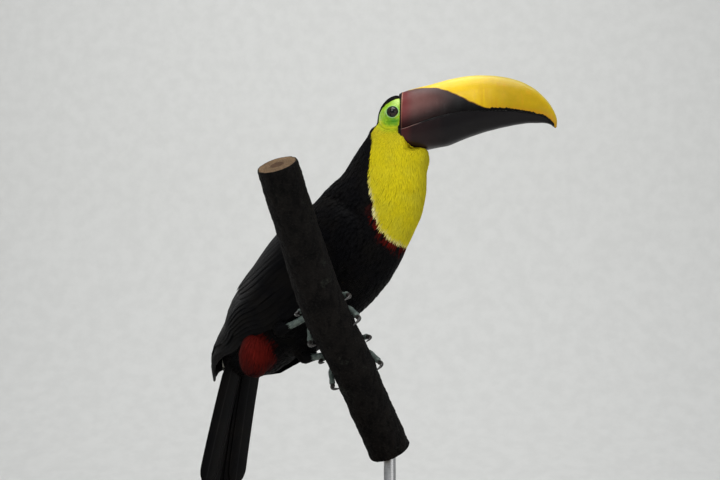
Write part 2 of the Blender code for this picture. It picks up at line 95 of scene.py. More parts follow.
# Folded wing: station, lower and upper angle from the belly line, lift off the body, thickness.
WING = [
    (7.35, 84, 112, 0, 2.5),
    (7.0, 62, 138, 0, 6.0),
    (6.2, 58, 153, 0, 8.5),
    (5.0, 54, 168, 0.5, 9.5),
    (4.0, 51, 176, 1.0, 9.0),
    (3.0, 52, 177.5, 2.0, 7.5),
    (2.0, 62, 177.5, 3.5, 6.0),
    (1.3, 77, 175, 5.0, 4.4),
    (0.7, 92, 169, 6.5, 3.0),
    (0.25, 104, 158, 6.5, 2.2),
    (0.0, 114, 144, 6.0, 1.6),
]
WING_GAP, WING_EDGE = 1.0, 1.0
TAIL_ROOT, TAIL_AIM, TAIL_TURN = (-82, 91, 190), (-0.185, 0.14, -0.973), 43
TAIL_LENGTHS, TAIL_SPREAD = (147, 145, 141, 135, 127), (0.4, 1.1, 1.8, 2.6, 3.4)
ROOT_SPACING, TAIL_STEP, VANE_WIDTH = 3.1, 1.25, 24
UNDERTAIL = dict(station=2.25, angle=30, radii=(20, 25, 15))
UPPERTAIL = dict(station=0.95, angle=180, radii=(14, 24, 7))
# Branch, from the upper cut to the lower one: x, y, z, radius.
BRANCH = [
    (-36, -113, 358.5, 20.5),
    (-17, -81, 300.5, 21),
    (7, -42, 230.5, 22.5),
    (30, -19, 186.5, 22),
    (53, 8, 136.5, 21),
    (72, 29, 95.5, 21.5),
]
LEGS = {
    "right": dict(heel=(-38, 6, 213), hip=(-24, 26, 228), grip=2.13, angle=98),
    "left": dict(heel=(-13, 39, 189), hip=(-15, 55, 219), grip=3.06, angle=104),
}
# Toes: start along the branch, angle reached round it, slide along it, radius, length of the claw.
TOES = {
    "inner_front": (-3.4, -64, -7, 3.1, 15),
    "outer_front": (3.4, -73, 12, 3.3, 16),
    "inner_hind": (-3.4, 50, -6, 2.9, 12),
    "outer_hind": (3.4, 65, 14, 3.1, 14),
}
PAD_RADII, PAD_LIFT, TOE_START, STATION_LENGTH = (5.6, 5.2, 6.4), 6.4, 19, 58
BASE_SIZE, BASE_CORNER, BASE_BEVEL = (250, 196, 18), 26, 2.5
ROD_AT, ROD_RADIUS, ROD_TOP = (71.5, 28.5), 6, 112
COLLAR_RADIUS, COLLAR_HEIGHT = 15, 7
FLESH = ["rump", "belly", "breast", "neck", "head", "thigh_left", "thigh_right", "undertail_coverts",
         "uppertail_coverts"]

# ---------------------------------------------------------------- driving sizes of the looks

# Edge of the bib: station, angle from the belly line.
BIB = [
    (7.25, 0), (7.25, 18), (7.27, 38), (7.35, 53), (7.55, 69), (7.88, 86), (8.2, 100), (8.69, 109.5),
    (9.02, 115), (9.45, 123), (9.99, 132), (10.69, 145),
]
# Edge of the head's feathers where they meet the bill, in the head's frame: x, z.
BILL_SEAT = [(0, 26), (0, -13), (4.5, -24.5), (9.5, -29), (27, -28.8)]
# Edge of the black cap on the head, in the head's frame: x, z.
CAP = [
    (-28.1, -13.3), (-26.5, -10), (-25, -6), (-23.7, 0), (-22, 6.2), (-17.8, 11.6), (-12.9, 14.2),
    (-7.6, 17.2), (0, 19.6), (6, 22),
]
# Outline of the bare skin round the eye, in the head's frame: x, z.
BARE = [
    (-0.4, 18.4), (-7.5, 16.4), (-12.7, 13.5), (-17.6, 10.5), (-21.1, 5.8), (-22.2, 0), (-21, -5.2),
    (-18.4, -9.6), (-14, -12.6), (-8.2, -13.6), (-3, -12.6), (-0.4, -9),
]
# Border of yellow and dark on the upper mandible, in the head's frame: x, z.
BORDER = [
    (-4, 35), (4, 34.5), (9, 32.8), (16, 31.5), (26.5, 31.2), (39.6, 28.6), (51.7, 23.4), (63.6, 16.8),
    (72.4, 12.6), (81.3, 8.6), (90, 6), (98, 4.2), (112, 2),
]
VOXEL, SWELL = 2.0, 0.7  # grain of the joined skin, and how far its solids are swollen to join
SIDE_OF_HEAD = 7  # distance from the middle of the head beyond which its skin faces sideways
TAIL_ZONE = -150  # height in the head's frame below which the tufts at the tail's root lie
MOST_TRIANGLES = 190000  # of one piece of the coat
MARKS = ("red", "yellow", "pale", "green", "white")  # colours over the black, from the lowest up
BAKE_PATCH = 0.003  # side of each feather's place in the unwrap for the bake
SKEW = (0.13, 0.21, 0.97)  # a direction that no tube follows, to measure turns round it from

rng = np.random.default_rng(11)

# ---------------------------------------------------------------- curves and forms


def curve(rows, u):
    """A smooth curve through the rows: every column at each u, counted in rows."""
    rows = np.asarray(rows, float)
    u = np.clip(np.asarray(u, float), 0, len(rows) - 1)
    i = np.minimum(u.astype(int), len(rows) - 2)
    t = (u - i)[..., None]
    more = np.vstack([2 * rows[0] - rows[1], rows, 2 * rows[-1] - rows[-2]])
    p0, p1, p2, p3 = (more[i + k] for k in range(4))
    bend = (2 * p0 - 5 * p1 + 4 * p2 - p3) * t**2 + (3 * p1 - p0 - 3 * p2 + p3) * t**3
    return (2 * p1 + (p2 - p0) * t + bend) / 2


def sampled(rows, count):
    """The curve at a count of places spread evenly over its rows."""
    return curve(rows, np.linspace(0, len(rows) - 1, count))


def unit(vectors):
    return vectors / np.maximum(np.linalg.norm(vectors, axis=-1, keepdims=True), 1e-12)


def dot(a, b):
    return (a * b).sum(-1, keepdims=True)


def smooth(low, high, values):
    """0 below low, 1 above high, and a soft step between them. It falls where high is below low."""
    t = np.clip((np.asarray(values, float) - low) / (high - low), 0, 1)
    return t * t * (3 - 2 * t)


def headings(rows, u):
    """Directions in which the curve through the rows runs at each u."""
    little = 0.02
    return unit(curve(rows, u + little)[..., :3] - curve(rows, u - little)[..., :3])


def facing(forward, turn):
    """Right side and back of a bird that heads forward, its front turned from +X towards -Y."""
    turn = np.radians(turn)
    right = np.stack([-np.sin(turn), -np.cos(turn), 0 * turn], -1)
    right = unit(right - dot(right, forward) * forward)
    return right, np.cross(right, forward)


def body_points(u, angle, out=0.0):
    """Points of the body at stations, angles from the belly line to the right, and distances out."""
    u, angle, out = np.broadcast_arrays(np.asarray(u, float), angle, out)
    rows = curve(SPINE, u)
    right, back = facing(headings(SPINE, u), rows[..., 5])
    s, c = np.sin(np.radians(angle))[..., None], np.cos(np.radians(angle))[..., None]
    half_width, half_depth = rows[..., 3:4], rows[..., 4:5]
    outward = unit(right * half_depth * s - back * half_width * c)
    return rows[..., :3] + right * half_width * s - back * half_depth * c + outward * out[..., None]


def body_places(points):
    """Station and angle of points on or near the body: the reverse of body_points."""
    u = np.linspace(0, len(SPINE) - 1, 441)
    rows, forward = curve(SPINE, u), headings(SPINE, u)
    right, back = facing(forward, rows[:, 5])
    stations, angles = [], []
    for some in np.array_split(points, len(points) // 4000 + 1):
        away = some[:, None] - rows[None, :, :3]
        off = np.abs((away * forward).sum(-1)) + 0.15 * np.linalg.norm(away, axis=-1)
        nearest = off.argmin(1)
        away = away[np.arange(len(some)), nearest]
        s = (away * right[nearest]).sum(-1) / rows[nearest, 3]
        c = -(away * back[nearest]).sum(-1) / rows[nearest, 4]
        stations.append(u[nearest])
        angles.append(np.degrees(np.arctan2(s, c)))
    return np.concatenate(stations), np.concatenate(angles)


def head_frame():
    """Place and turn of the head: its x runs along the bill, its z to the crown."""
    turn = Matrix.Rotation(math.radians(-HEAD_TURN), 4, "Z")
    roll = Matrix.Rotation(math.radians(-HEAD_ROLL), 4, "X")
    return Matrix.Translation(Vector(HEAD_AT)) @ turn @ roll


HEAD = np.array(head_frame())
HEAD_BACK = np.linalg.inv(HEAD)


def to_head(points):
    return points @ HEAD_BACK[:3, :3].T + HEAD_BACK[:3, 3]


def from_head(points):
    return points @ HEAD[:3, :3].T + HEAD[:3, 3]


def wing_form(length, across):
    """Station, lower and upper angle, height of the underside and thickness of the folded wing.

    length runs from the shoulder at 0 to the tip at 1, and across from the lower edge to the upper."""
    station, low, high, lift, thick = np.moveaxis(curve(WING, length * (len(WING) - 1)), -1, 0)
    rounding = np.sin(np.pi * np.clip(across, 0.06, 0.94)) ** 0.5
    return station, low, high, WING_GAP + lift, np.maximum(WING_EDGE, thick * rounding)


def wing_points(side, length, across, share, out):
    """Points over a folded wing. share is how deep they lie in its thickness, and out a distance off it."""
    station, low, high, under, thick = wing_form(length, across)
    out = under + thick - share * np.minimum(thick, 4.0) + out
    return body_points(station, side * between((low, high), across), out)


def branch_points(u, angle, out):
    """Points round the branch at distances out from its bark: 0 degrees faces +X, 90 faces +Y."""
    u, angle, out = np.broadcast_arrays(np.asarray(u, float), angle, out)
    rows, axis = curve(BRANCH, u), headings(BRANCH, u)
    east = np.zeros_like(axis)
    east[..., 0] = 1
    east = unit(east - dot(east, axis) * axis)
    north = np.cross(east, axis)
    s, c = np.sin(np.radians(angle))[..., None], np.cos(np.radians(angle))[..., None]
    return rows[..., :3] + (east * c + north * s) * (rows[..., 3:4] + out[..., None])


def tail_axes():
    """Directions down the tail, to its right and out of its upper side."""
    down = unit(np.array(TAIL_AIM, float))
    return (down, *facing(-down, np.array(float(TAIL_TURN))))


def tuft_depth(points, station, angle, radii):
    """How far points lie in one of the tufts at the tail's root: under 1 is inside its ellipsoid."""
    down, right, back = tail_axes()
    away = points - body_points(station, angle)
    return np.linalg.norm(np.stack([away @ right, away @ -down, away @ back], -1) / radii, axis=-1)


def wave_noise(points, size, seed, octaves=3):
    """Soft noise of about -1 to 1 at points, its largest features about size across."""
    shift = Vector((seed, 2.7 * seed, -1.3 * seed))
    return np.array([noise.fractal(Vector(p) / size + shift, 0.7, 2.0, octaves) for p in points])


def between(ends, share):
    """From the first of two ends to the other."""
    return ends[0] + (ends[1] - ends[0]) * share


def lookup_of(points):
    """A search tree of points."""
    tree = KDTree(len(points))
    for i, point in enumerate(points):
        tree.insert(point, i)
    tree.balance()
    return tree


def leg_places(spec):
    """The hip, the heel and the ball of the foot of one leg."""
    ball = branch_points(spec["grip"], spec["angle"], PAD_LIFT)
    return np.array(spec["hip"], float), np.array(spec["heel"], float), ball


# ---------------------------------------------------------------- meshes and pieces


def vectors_of(mesh, kind):
    """The vectors of one kind at a mesh's points: co or normal."""
    vectors = np.empty(len(mesh.vertices) * 3, np.float32)
    mesh.vertices.foreach_get(kind, vectors)
    return vectors.reshape(-1, 3).astype(float)


def points_of(mesh):
    return vectors_of(mesh, "co") / MM


def set_values(mesh, **values):
    """Stores numbers on the points of a mesh for its material to read."""
    for name, numbers in values.items():
        attribute = mesh.attributes.new(name, "FLOAT", "POINT")
        attribute.data.foreach_set("value", np.asarray(numbers, np.float32))


def set_uv(mesh, name, coordinates):
    """Stores a map on a mesh from a place for each of its points."""
    loops = np.empty(len(mesh.loops), np.int32)
    mesh.loops.foreach_get("vertex_index", loops)
    layer = mesh.uv_layers.new(name=name)
    layer.uv.foreach_set("vector", coordinates[loops].astype(np.float32).ravel())


def surface(columns, rows, place):
    """A bmesh of a grid laid out by place, which takes 0..1 across and along to points."""
    bm = bmesh.new()
    bmesh.ops.create_grid(bm, x_segments=columns, y_segments=rows, size=1)
    at = np.array([vert.co[:2] for vert in bm.verts]) / 2 + 0.5
    for vert, point in zip(bm.verts, place(at[:, 0], at[:, 1]) * MM):
        vert.co = point
    bmesh.ops.remove_doubles(bm, verts=bm.verts, dist=1e-6)
    bmesh.ops.recalc_face_normals(bm, faces=bm.faces)
    return bm


def marked_surface(columns, rows, place):
    """A surface whose place also tells values at its points, and those values at its vertices."""
    told = []

    def points(across, along):
        told.extend(place(across, along))
        return told[0]

    bm = surface(columns, rows, points)
    lookup = lookup_of(told[0])
    nearest = [lookup.find(vert.co / MM)[1] for vert in bm.verts]
    return bm, {name: values[nearest] for name, values in told[1].items()}


def close_ends(bm):
    """Closes the open ends of a form with faces."""
    bmesh.ops.holes_fill(bm, edges=[edge for edge in bm.edges if edge.is_boundary], sides=0)
    bmesh.ops.recalc_face_normals(bm, faces=bm.faces)


def mesh_of(name, bm, sharp=0):
    """The mesh of a bmesh, smooth but for edges sharper than an angle, if one is given."""
    mesh = bpy.data.meshes.new(name)
    bm.to_mesh(mesh)
    bm.free()
    mesh.shade_smooth()
    if sharp:
        mesh.set_sharp_from_angle(angle=math.radians(sharp))
    return mesh


def place_object(name, data):
    """A new object at the origin of the scene."""
    obj = bpy.data.objects.new(name, data)
    bpy.context.scene.collection.objects.link(obj)
    return obj


def piece(name, mesh, material, slot, *nodes):
    """Shows a finished mesh as a piece of the bird or its stand, in place of the named solids."""
    obj = place_object(name, mesh)
    mesh.materials.clear()
    mesh.materials.append(material)
    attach(obj, "root")
    if nodes:
        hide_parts(*nodes)


def relaxed(name, mesh, factor, rounds):
    """A mesh with its points evened out."""
    bm, axes = bmesh.new(), dict(use_axis_x=True, use_axis_y=True, use_axis_z=True)
    bm.from_mesh(mesh)
    for _ in range(rounds):
        bmesh.ops.smooth_vert(bm, verts=bm.verts, factor=factor, **axes)
    return mesh_of(name, bm)


def remeshed(name, bm, voxel, rounds):
    """A bmesh of closed forms made one even skin and smoothed."""
    obj = place_object(name, mesh_of(name, bm))
    remesh = obj.modifiers.new("remesh", "REMESH")
    remesh.mode = "VOXEL"
    remesh.voxel_size = voxel * MM
    graph = bpy.context.evaluated_depsgraph_get()
    mesh = bpy.data.meshes.new_from_object(obj.evaluated_get(graph))
    bpy.data.objects.remove(obj)
    return relaxed(name, mesh, 0.5, rounds)


# ---------------------------------------------------------------- shader helpers


def connect(socket, value):
    """Links a socket to another or sets its value. Colours come without their alpha."""
    if isinstance(value, bpy.types.NodeSocket):
        socket.id_data.links.new(value, socket)
    else:
        socket.default_value = (*value, 1.0) if socket.type == "RGBA" else value


def tree_of(*values):
    """The node tree of the sockets among some values."""
    return next(value.id_data for value in values if isinstance(value, bpy.types.NodeSocket))


def add(tree, kind, values=None, **settings):
    """Adds a node with settings of its own and values for its inputs."""
    made = tree.nodes.new("ShaderNode" + kind)
    for name, value in settings.items():
        setattr(made, name, value)
    for key, value in (values or {}).items():
        connect(made.inputs[key], value)
    return made


def mix(factor, first, second, mode="MIX"):
    """From the first colour, at factor 0, to the second, at 1."""
    values = {0: factor, 6: first, 7: second}
    return add(tree_of(factor, first, second), "Mix", values, data_type="RGBA", blend_type=mode).outputs[2]


def calc(operation, first, second=0.0, third=0.5):
    """The result of one arithmetic node."""
    values = {0: first, 1: second, 2: third}
    return add(tree_of(first, second), "Math", values, operation=operation).outputs[0]


def product(first, *others):
    """All the values multiplied."""
    for other in others:
        first = calc("MULTIPLY", first, other)
    return first


def cover(colour, tint, *shares):
    """A colour under a tint that covers it by the product of the shares."""
    return mix(product(*shares), colour, tint)


def step(value, low, high, to_low=0.0, to_high=1.0):
    """A soft step of a value, from one level at low to another at high."""
    values = {"Value": value, "From Min": low, "From Max": high, "To Min": to_low, "To Max": to_high}
    return add(tree_of(value), "MapRange", values, interpolation_type="SMOOTHSTEP").outputs[0]


def dimmed(colour, value):
    """A colour times a brightness."""
    grey = add(tree_of(colour), "CombineColor", {0: value, 1: value, 2: value}).outputs[0]
    return mix(1.0, colour, grey, "MULTIPLY")


def mark(tree, name):
    """A number stored on the mesh."""
    return add(tree, "Attribute", attribute_name=name).outputs["Fac"]


def places(tree, scale=(1, 1, 1)):
    """Object coordinates, stretched."""
    coordinates = add(tree, "TexCoord").outputs["Object"]
    return add(tree, "Mapping", {"Vector": coordinates, "Scale": scale}).outputs[0]


def grain(tree, scale, stretch=(1, 1, 1), detail=4.0, rough=0.55, distortion=0.0):
    """Noise on Object coordinates, from 0 to 1."""
    values = {"Vector": places(tree, stretch), "Scale": scale, "Detail": detail, "Roughness": rough}
    return add(tree, "TexNoise", {**values, "Distortion": distortion}).outputs["Fac"]


def cells(tree, scale, stretch=(1, 1, 1)):
    """Distance from the borders between uneven cells."""
    values = {"Vector": places(tree, stretch), "Scale": scale}
    return add(tree, "TexVoronoi", values, feature="DISTANCE_TO_EDGE").outputs[0]


def bump(height, distance, strength, normal=None):
    """A normal with relief in it, its distance in millimetres."""
    values = {"Height": height, "Distance": distance * MM, "Strength": strength}
    if normal:
        values["Normal"] = normal
    return add(tree_of(height), "Bump", values).outputs[0]


def finished(material, **values):
    """The material, with numbers or links at inputs of its shader."""
    for key, value in values.items():
        label = key.replace("_", " ").title().replace("Ior", "IOR")
        connect(material.node_tree.nodes["Principled BSDF"].inputs[label], value)
    return material


def new_material(name, **constants):
    """A material and its tree, with the constants set on the shader's own sockets."""
    material = bpy.data.materials.new(name)
    material.use_nodes = True
    return finished(material, **constants), material.node_tree


def new_group(name, inputs, outputs):
    """A shader node group with named sockets: (name, kind, start value) in, (name, kind) out."""
    tree = bpy.data.node_groups.new(name, "ShaderNodeTree")
    for label, kind, start in inputs:
        socket = tree.interface.new_socket(label, in_out="INPUT", socket_type=f"NodeSocket{kind}")
        socket.default_value = start
    for label, kind in outputs:
        tree.interface.new_socket(label, in_out="OUTPUT", socket_type=f"NodeSocket{kind}")
    return tree, tree.nodes.new("NodeGroupInput").outputs, tree.nodes.new("NodeGroupOutput").inputs


def use(tree, group, **values):
    """Places a group in a material. Returns its outputs."""
    return add(tree, "Group", values, node_tree=group).outputs


def mottled(colour, scale, amount):
    """A colour of uneven tone."""
    return use(tree_of(colour), MOTTLE, Colour=colour, Scale=scale, Amount=amount)[0]


# ---------------------------------------------------------------- shader groups


def markings_group():
    """Colours of the plumage, from the marks stored on skin and coat alike."""
    tree, _, out = new_group("plumage_markings", [], [("Colour", "Color"), ("Bright", "Float")])
    patches = grain(tree, 45, detail=3.0)
    colour = mix(step(patches, 0.35, 0.7), (0.0030, 0.0030, 0.0036), (0.0056, 0.0050, 0.0046))
    yellow = mix(step(patches, 0.3, 0.72), (0.70, 0.585, 0.010), (0.65, 0.56, 0.024))
    yellow = cover(yellow, (0.61, 0.44, 0.007), step(grain(tree, 110, detail=2.0), 0.55, 0.75), 0.35)
    red = mix(step(patches, 0.35, 0.65), (0.070, 0.0045, 0.003), (0.13, 0.0075, 0.0045))
    bright = 0.0
    for name, tint in zip(MARKS, (red, yellow, (0.80, 0.74, 0.46), (0.44, 0.62, 0.02), (0.82, 0.80, 0.70))):
        amount = mark(tree, f"{name}_mark")
        colour = cover(colour, tint, amount)
        bright = calc("MAXIMUM", bright, amount)
    connect(out["Colour"], colour)
    connect(out["Bright"], bright)
    return tree


def barbs_group():
    """Fine slanting barbs on both sides of a vane's shaft, from its own map."""
    inputs = [("Count", "Float", 40.0), ("Slant", "Float", 8.0)]
    outputs = [("Height", "Float"), ("Shaft", "Float"), ("Edge", "Float")]
    tree, given, out = new_group("feather_barbs", inputs, outputs)
    across, along, _ = add(tree, "SeparateXYZ", {0: add(tree, "UVMap", uv_map="vane").outputs[0]}).outputs
    off = calc("ABSOLUTE", calc("SUBTRACT", product(across, 2.0), 1.0))
    turns = calc("SUBTRACT", product(along, given["Count"]), product(off, given["Slant"]))
    turns = calc("ADD", turns, product(grain(tree, 220, detail=2.0), 1.6))
    connect(out["Height"], calc("MULTIPLY_ADD", calc("SINE", product(turns, math.tau)), 0.5, 0.5))
    connect(out["Shaft"], step(off, 0.10, 0.02))
    connect(out["Edge"], step(off, 0.90, 0.97))
    return tree


def mottle_group():
    """Uneven tone: a colour darkened and lightened by noise on two scales."""
    inputs = [("Colour", "Color", (0.5, 0.5, 0.5, 1.0)), ("Scale", "Float", 100.0), ("Amount", "Float", 0.3)]
    tree, (colour, scale, amount, _), out = new_group("mottle", inputs, [("Colour", "Color")])
    at = places(tree)
    fine = add(tree, "TexNoise", {"Vector": at, "Scale": scale, "Detail": 5.0, "Roughness": 0.6}).outputs[0]
    wide = add(tree, "TexNoise", {"Vector": at, "Scale": product(scale, 0.17), "Detail": 2.0}).outputs[0]
    dark = mix(amount, colour, (0.0, 0.0, 0.0))
    light = mix(amount, colour, mix(1.0, colour, (1.9, 1.9, 1.9), "MULTIPLY"))
    connect(out["Colour"], mix(step(product(calc("ADD", fine, wide), 0.5), 0.32, 0.68), dark, light))
    return tree


# ---------------------------------------------------------------- materials


def plumage(name, roughness, count, slant, depth, gloss=0.1, light_shaft_and_edge_sheen=1.0):
    """Feathers: the markings, painted shade at the roots, painted sheen at the edges, and barbs in relief."""
    material, tree = new_material(name, roughness=roughness, specular_ior_level=gloss)
    colour, bright = use(tree, MARKINGS)
    height, shaft, edge = use(tree, BARBS, Count=count, Slant=slant)
    tone = product(
        # painted shade: darker towards the roots, where the feathers overlap
        step(mark(tree, "reach"), 0.0, 0.8, 0.72, 1.0),
        calc("ADD", mark(tree, "tone"), 1.0),
        step(height, -0.5, 0.5, 0.9, 1.06),
        # lighter shafts, and painted sheen along the edges of the vanes
        step(calc("MAXIMUM", shaft, edge), 0.0, 1.0, 1.0, light_shaft_and_edge_sheen),
    )
    return finished(material, base_color=dimmed(colour, tone), normal=bump(height, depth, 0.5),
                    roughness=calc("MULTIPLY_ADD", bright, 0.2, roughness))


def skin_material():
    """Skin under the coat: the same markings, darkened by painted shade of the gaps it shows in, with a fine
    down-like relief.
    """
    material, tree = new_material("skin_under_plumage", roughness=0.8, specular_ior_level=0.05)
    colour, _ = use(tree, MARKINGS)
    # painted shade: the skin is seen only in the shaded gaps of the coat
    shade = mix(1.0, colour, (0.62, 0.6, 0.55), "MULTIPLY")
    down = grain(tree, 900, detail=3.0)
    colour = mix(step(down, 0.35, 0.65, 0.0, 0.4), shade, colour)
    return finished(material, base_color=colour, normal=bump(down, 0.5, 0.6))


MARKINGS, BARBS, MOTTLE = markings_group(), barbs_group(), mottle_group()

# ---------------------------------------------------------------- markings


def skull_y(x, z):
    """Half width of the skull at places in the head's side view."""
    across, high = (x - SKULL_AT[0]) / SKULL_RADII[0], (z - SKULL_AT[2]) / SKULL_RADII[2]
    return SKULL_RADII[1] * np.sqrt(np.maximum(0.02, 1 - across**2 - high**2))


def bib_edge():
    """A search tree of points along the edge of bib and cap, on both sides of the bird."""
    (station, angle), (x, z) = sampled(BIB, 150).T, sampled(CAP, 90).T
    edge = []
    for side in (RIGHT, LEFT):
        edge.append(body_points(station, side * angle))
        edge.append(from_head(np.stack([x, -side * skull_y(x, z), z], -1)))
    return lookup_of(np.concatenate(edge))


def bib_margin(points, station, angle, local):
    """How far points lie inside the bib's edge: negative outside it."""
    stations, limits = np.array(BIB).T
    limit = np.interp(station, stations + np.arange(len(BIB)) * 1e-4, limits)
    inside = (np.abs(angle) < limit) & (station > BIB[0][0])
    cap_x, cap_z = np.array(CAP).T
    before_cap = (local[:, 0] > np.interp(local[:, 2], cap_z, cap_x)) & (local[:, 2] < CAP[-1][1])
    inside = np.where(local[:, 2] > CAP[0][1], before_cap, inside)
    edge = bib_edge()
    away = np.array([edge.find(point)[2] for point in points])
    return np.where(inside, away, -away)


def bare_reach(theta):
    """Radius of the bare skin round the eye, in each direction of the head's side view, in degrees."""
    x, z = (np.array(BARE) - (EYE_AT[0], EYE_AT[2])).T
    return np.interp(theta, np.degrees(np.arctan2(z, x)), np.hypot(x, z), period=360)


def bare_margin(local):
    """How far inside the bare skin's edge points of the head lie."""
    x, z = local[:, 0] - EYE_AT[0], local[:, 2] - EYE_AT[2]
    margin = bare_reach(np.degrees(np.arctan2(z, x))) - np.hypot(x, z)
    return np.where(np.abs(local[:, 1]) > SIDE_OF_HEAD, margin, -30.0)


def thigh_share(points):
    """1 on the feathered legs, 0 away from them, and the direction down each leg."""
    share, down = np.zeros(len(points)), np.zeros((len(points), 3))
    for spec in LEGS.values():
        hip, heel, ball = leg_places(spec)
        run = heel - hip
        t = np.clip((points - hip) @ run / (run @ run), 0.2, 1.5)
        away = np.linalg.norm(points - hip - t[:, None] * run, axis=1)
        near = smooth(21, 16, away) * smooth(0.2, 0.5, t)
        below = smooth(6, -2, np.linalg.norm(points - ball, axis=1) - np.linalg.norm(heel - ball))[:, None]
        way = unit(run) * (1 - below) + unit(ball - heel) * below
        down = np.where((near > share)[:, None], way, down)
        share = np.maximum(share, near)
    return share, down


def read_marks(points):
    """Everything that the coat and the colours follow, at points of the skin."""
    station, angle = body_places(points)
    local = to_head(points)
    margin, bare = bib_margin(points, station, angle, local), bare_margin(local)
    wander = wave_noise(points, 6.0, 3.1, 2)
    ragged, even = margin + 0.9 * wander, margin + 0.3 * wander
    in_bib = smooth(-0.5, 0.5, ragged)
    band = 0.9 * smooth(-3.4, -2.5, even) * smooth(0.5, -0.5, ragged) * smooth(7.85, 7.55, station)
    at_tail = local[:, 2] < TAIL_ZONE
    ruffled = 0.10 * wave_noise(points, 9.0, 6.3, 2)
    under = smooth(1.36, 0.86, tuft_depth(points, **UNDERTAIL) + ruffled) * at_tail
    on_side = np.where(np.abs(local[:, 1]) > SIDE_OF_HEAD, 1, 0)
    return dict(
        station=station, angle=angle, local=local, margin=margin, bare=bare, at_tail=at_tail,
        marks=dict(
            yellow_mark=in_bib,
            pale_mark=0.85 * smooth(6.0, 1.5, ragged) * in_bib * smooth(8.55, 8.05, station),
            red_mark=np.maximum(band, under),
            green_mark=on_side * smooth(-7.5, 0.5, bare) * 0.75 * in_bib,
            white_mark=smooth(1.3, 1.15, tuft_depth(points, **UPPERTAIL)) * at_tail,
        ),
    )


# ---------------------------------------------------------------- skin


def saddle():
    """The arms of both folded wings and the mantle between them, as one closed form over the back.

    Its upper side runs from one arm over the back to the other, and its underside lies in the body."""
    arm, ends, inside = 0.4, (0.02, 0.72), -5.0

    def place(around, along):
        length = between(ends, along)
        q = np.where(around <= 0.5, 2 * around, 2 - 2 * around)
        across = np.clip(np.minimum(q, 1 - q) / arm, 0, 1)
        station, low, high, under, thick = wing_form(length, across)
        over_back = np.clip((q - arm) / (1 - 2 * arm), 0, 1)
        on_back = (q > arm) & (q < 1 - arm)
        angle = between((low, high), across)
        angle = np.where(q > 1 - arm, 360 - angle, angle)
        angle = np.where(on_back, high + (360 - 2 * high) * over_back, angle)
        out = np.maximum(under + thick - 4.5 * smooth(0.33, 0.45, length), 1.5)
        fill = 0.95 * np.clip((high - 146) / 28, 0, 1)
        dip = fill + (1 - fill) * np.abs(2 * over_back - 1) ** 4
        out = np.where(on_back, out * dip, out)
        out = np.where((around > 0.5) & (around < 1), inside, out)
        return body_points(station, angle, out)

    bm = surface(100, 44, place)
    close_ends(bm)
    return mesh_of("saddle", bm)


def coat_depth(found):
    """How far the skin lies below the tips of the coat."""
    local = found["local"]
    deep = np.interp(found["station"], [0, 1, 6, 8, 10], [1.6, 2.2, 2.2, 1.9, 1.5])
    on_head = smooth(-24, -8, local[:, 2])
    deep = deep * (1 - on_head) + 0.85 * on_head
    deep = deep - 3.8 * smooth(10, 23, local[:, 0]) * smooth(-52, -35, local[:, 2])
    nape = ((local[:, 0] + 27) / 6.5) ** 2 + ((local[:, 2] + 13) / 8) ** 2
    deep = deep - 2.8 * np.exp(-nape) * (found["bare"] < -1.5)
    return np.where(found["bare"] > -1.5, np.minimum(deep, 0.45), deep)


def fitted_to_bill(local):
    """Points of the chin and cheeks drawn in to the width of the bill where they meet it."""
    x, y, z = local.T
    along = np.linspace(0, len(BILL_SEAT) - 1, 241)
    seat = np.stack([np.interp(along, range(len(BILL_SEAT)), column) for column in zip(*BILL_SEAT)], -1)
    away, width = np.full(len(x), 99.0), np.zeros(len(x))
    for seat_x, seat_z in seat:
        around = bill_section(np.interp(seat_x, [0, 8, 27], [0.35, 1, 2]), np.linspace(-1.5, 1.5, 61))
        near = np.hypot(x - seat_x, z - seat_z)
        width = np.where(near < away, np.interp(seat_z, around[:, 2], around[:, 1]), width)
        away = np.minimum(near, away)
    limit = width + 0.1 + 1.15 * away + 0.02 * away**2
    sides = np.where(np.abs(y) > limit, np.sign(y) * limit, y)
    x = np.where((z > BILL_SEAT[1][1]) & (z < 24), np.minimum(x, -0.6), x)
    z = np.where(x > 0, np.minimum(z, np.interp(x, *zip(*BILL_SEAT[1:])) - 1.0), z)
    return np.stack([x, sides, z], -1)


def skin():
    """One skin for all the flesh: solids and wing arms joined, smoothed, and drawn in under the coat."""
    bm = bmesh.new()
    for name in FLESH:
        bm.from_mesh(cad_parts[name].data)
    bmesh.ops.remove_doubles(bm, verts=bm.verts, dist=2e-6)
    (x, y, z), plug = EYE_AT, (EYE_RADIUS - 0.2) * MM
    for side in (RIGHT, LEFT):
        place = Matrix.Translation(Vector(from_head(np.array([x, -side * (y - 1), z]))) * MM)
        bmesh.ops.create_uvsphere(bm, u_segments=24, v_segments=16, radius=plug, matrix=place)
    for spec in LEGS.values():
        hip, heel, ball = leg_places(spec)
        run, up_leg = unit(ball - heel), unit(hip - heel)
        route = [heel + up_leg * 14, heel + up_leg * 4 - run * 2, heel + run * 5, heel + run * 11]
        bm.from_mesh(mesh_of("heel_feathers", closed_tube(route, [9, 8.6, 7.0, 4.2], 20, 30)))
    bm.normal_update()
    moves = [(vert, vert.normal * SWELL * MM) for vert in bm.verts]
    for vert, move in moves:
        vert.co += move
    bm.from_mesh(saddle())
    mesh = remeshed("skin", bm, VOXEL, 4)
    points = points_of(mesh)
    found = read_marks(points)
    points -= vectors_of(mesh, "normal") * (SWELL * 0.6 + coat_depth(found))[:, None]
    at_head = found["local"][:, 2] > -60
    points[at_head] = from_head(fitted_to_bill(to_head(points[at_head])))
    mesh.vertices.foreach_set("co", (points * MM).astype(np.float32).ravel())
    mesh.update()
    mesh = relaxed("skin", mesh, 0.4, 2)
    set_values(mesh, **read_marks(points_of(mesh))["marks"])
    piece("skin", mesh, skin_material(), "plumage_black", *FLESH)
    return mesh


# ---------------------------------------------------------------- vanes and tufts


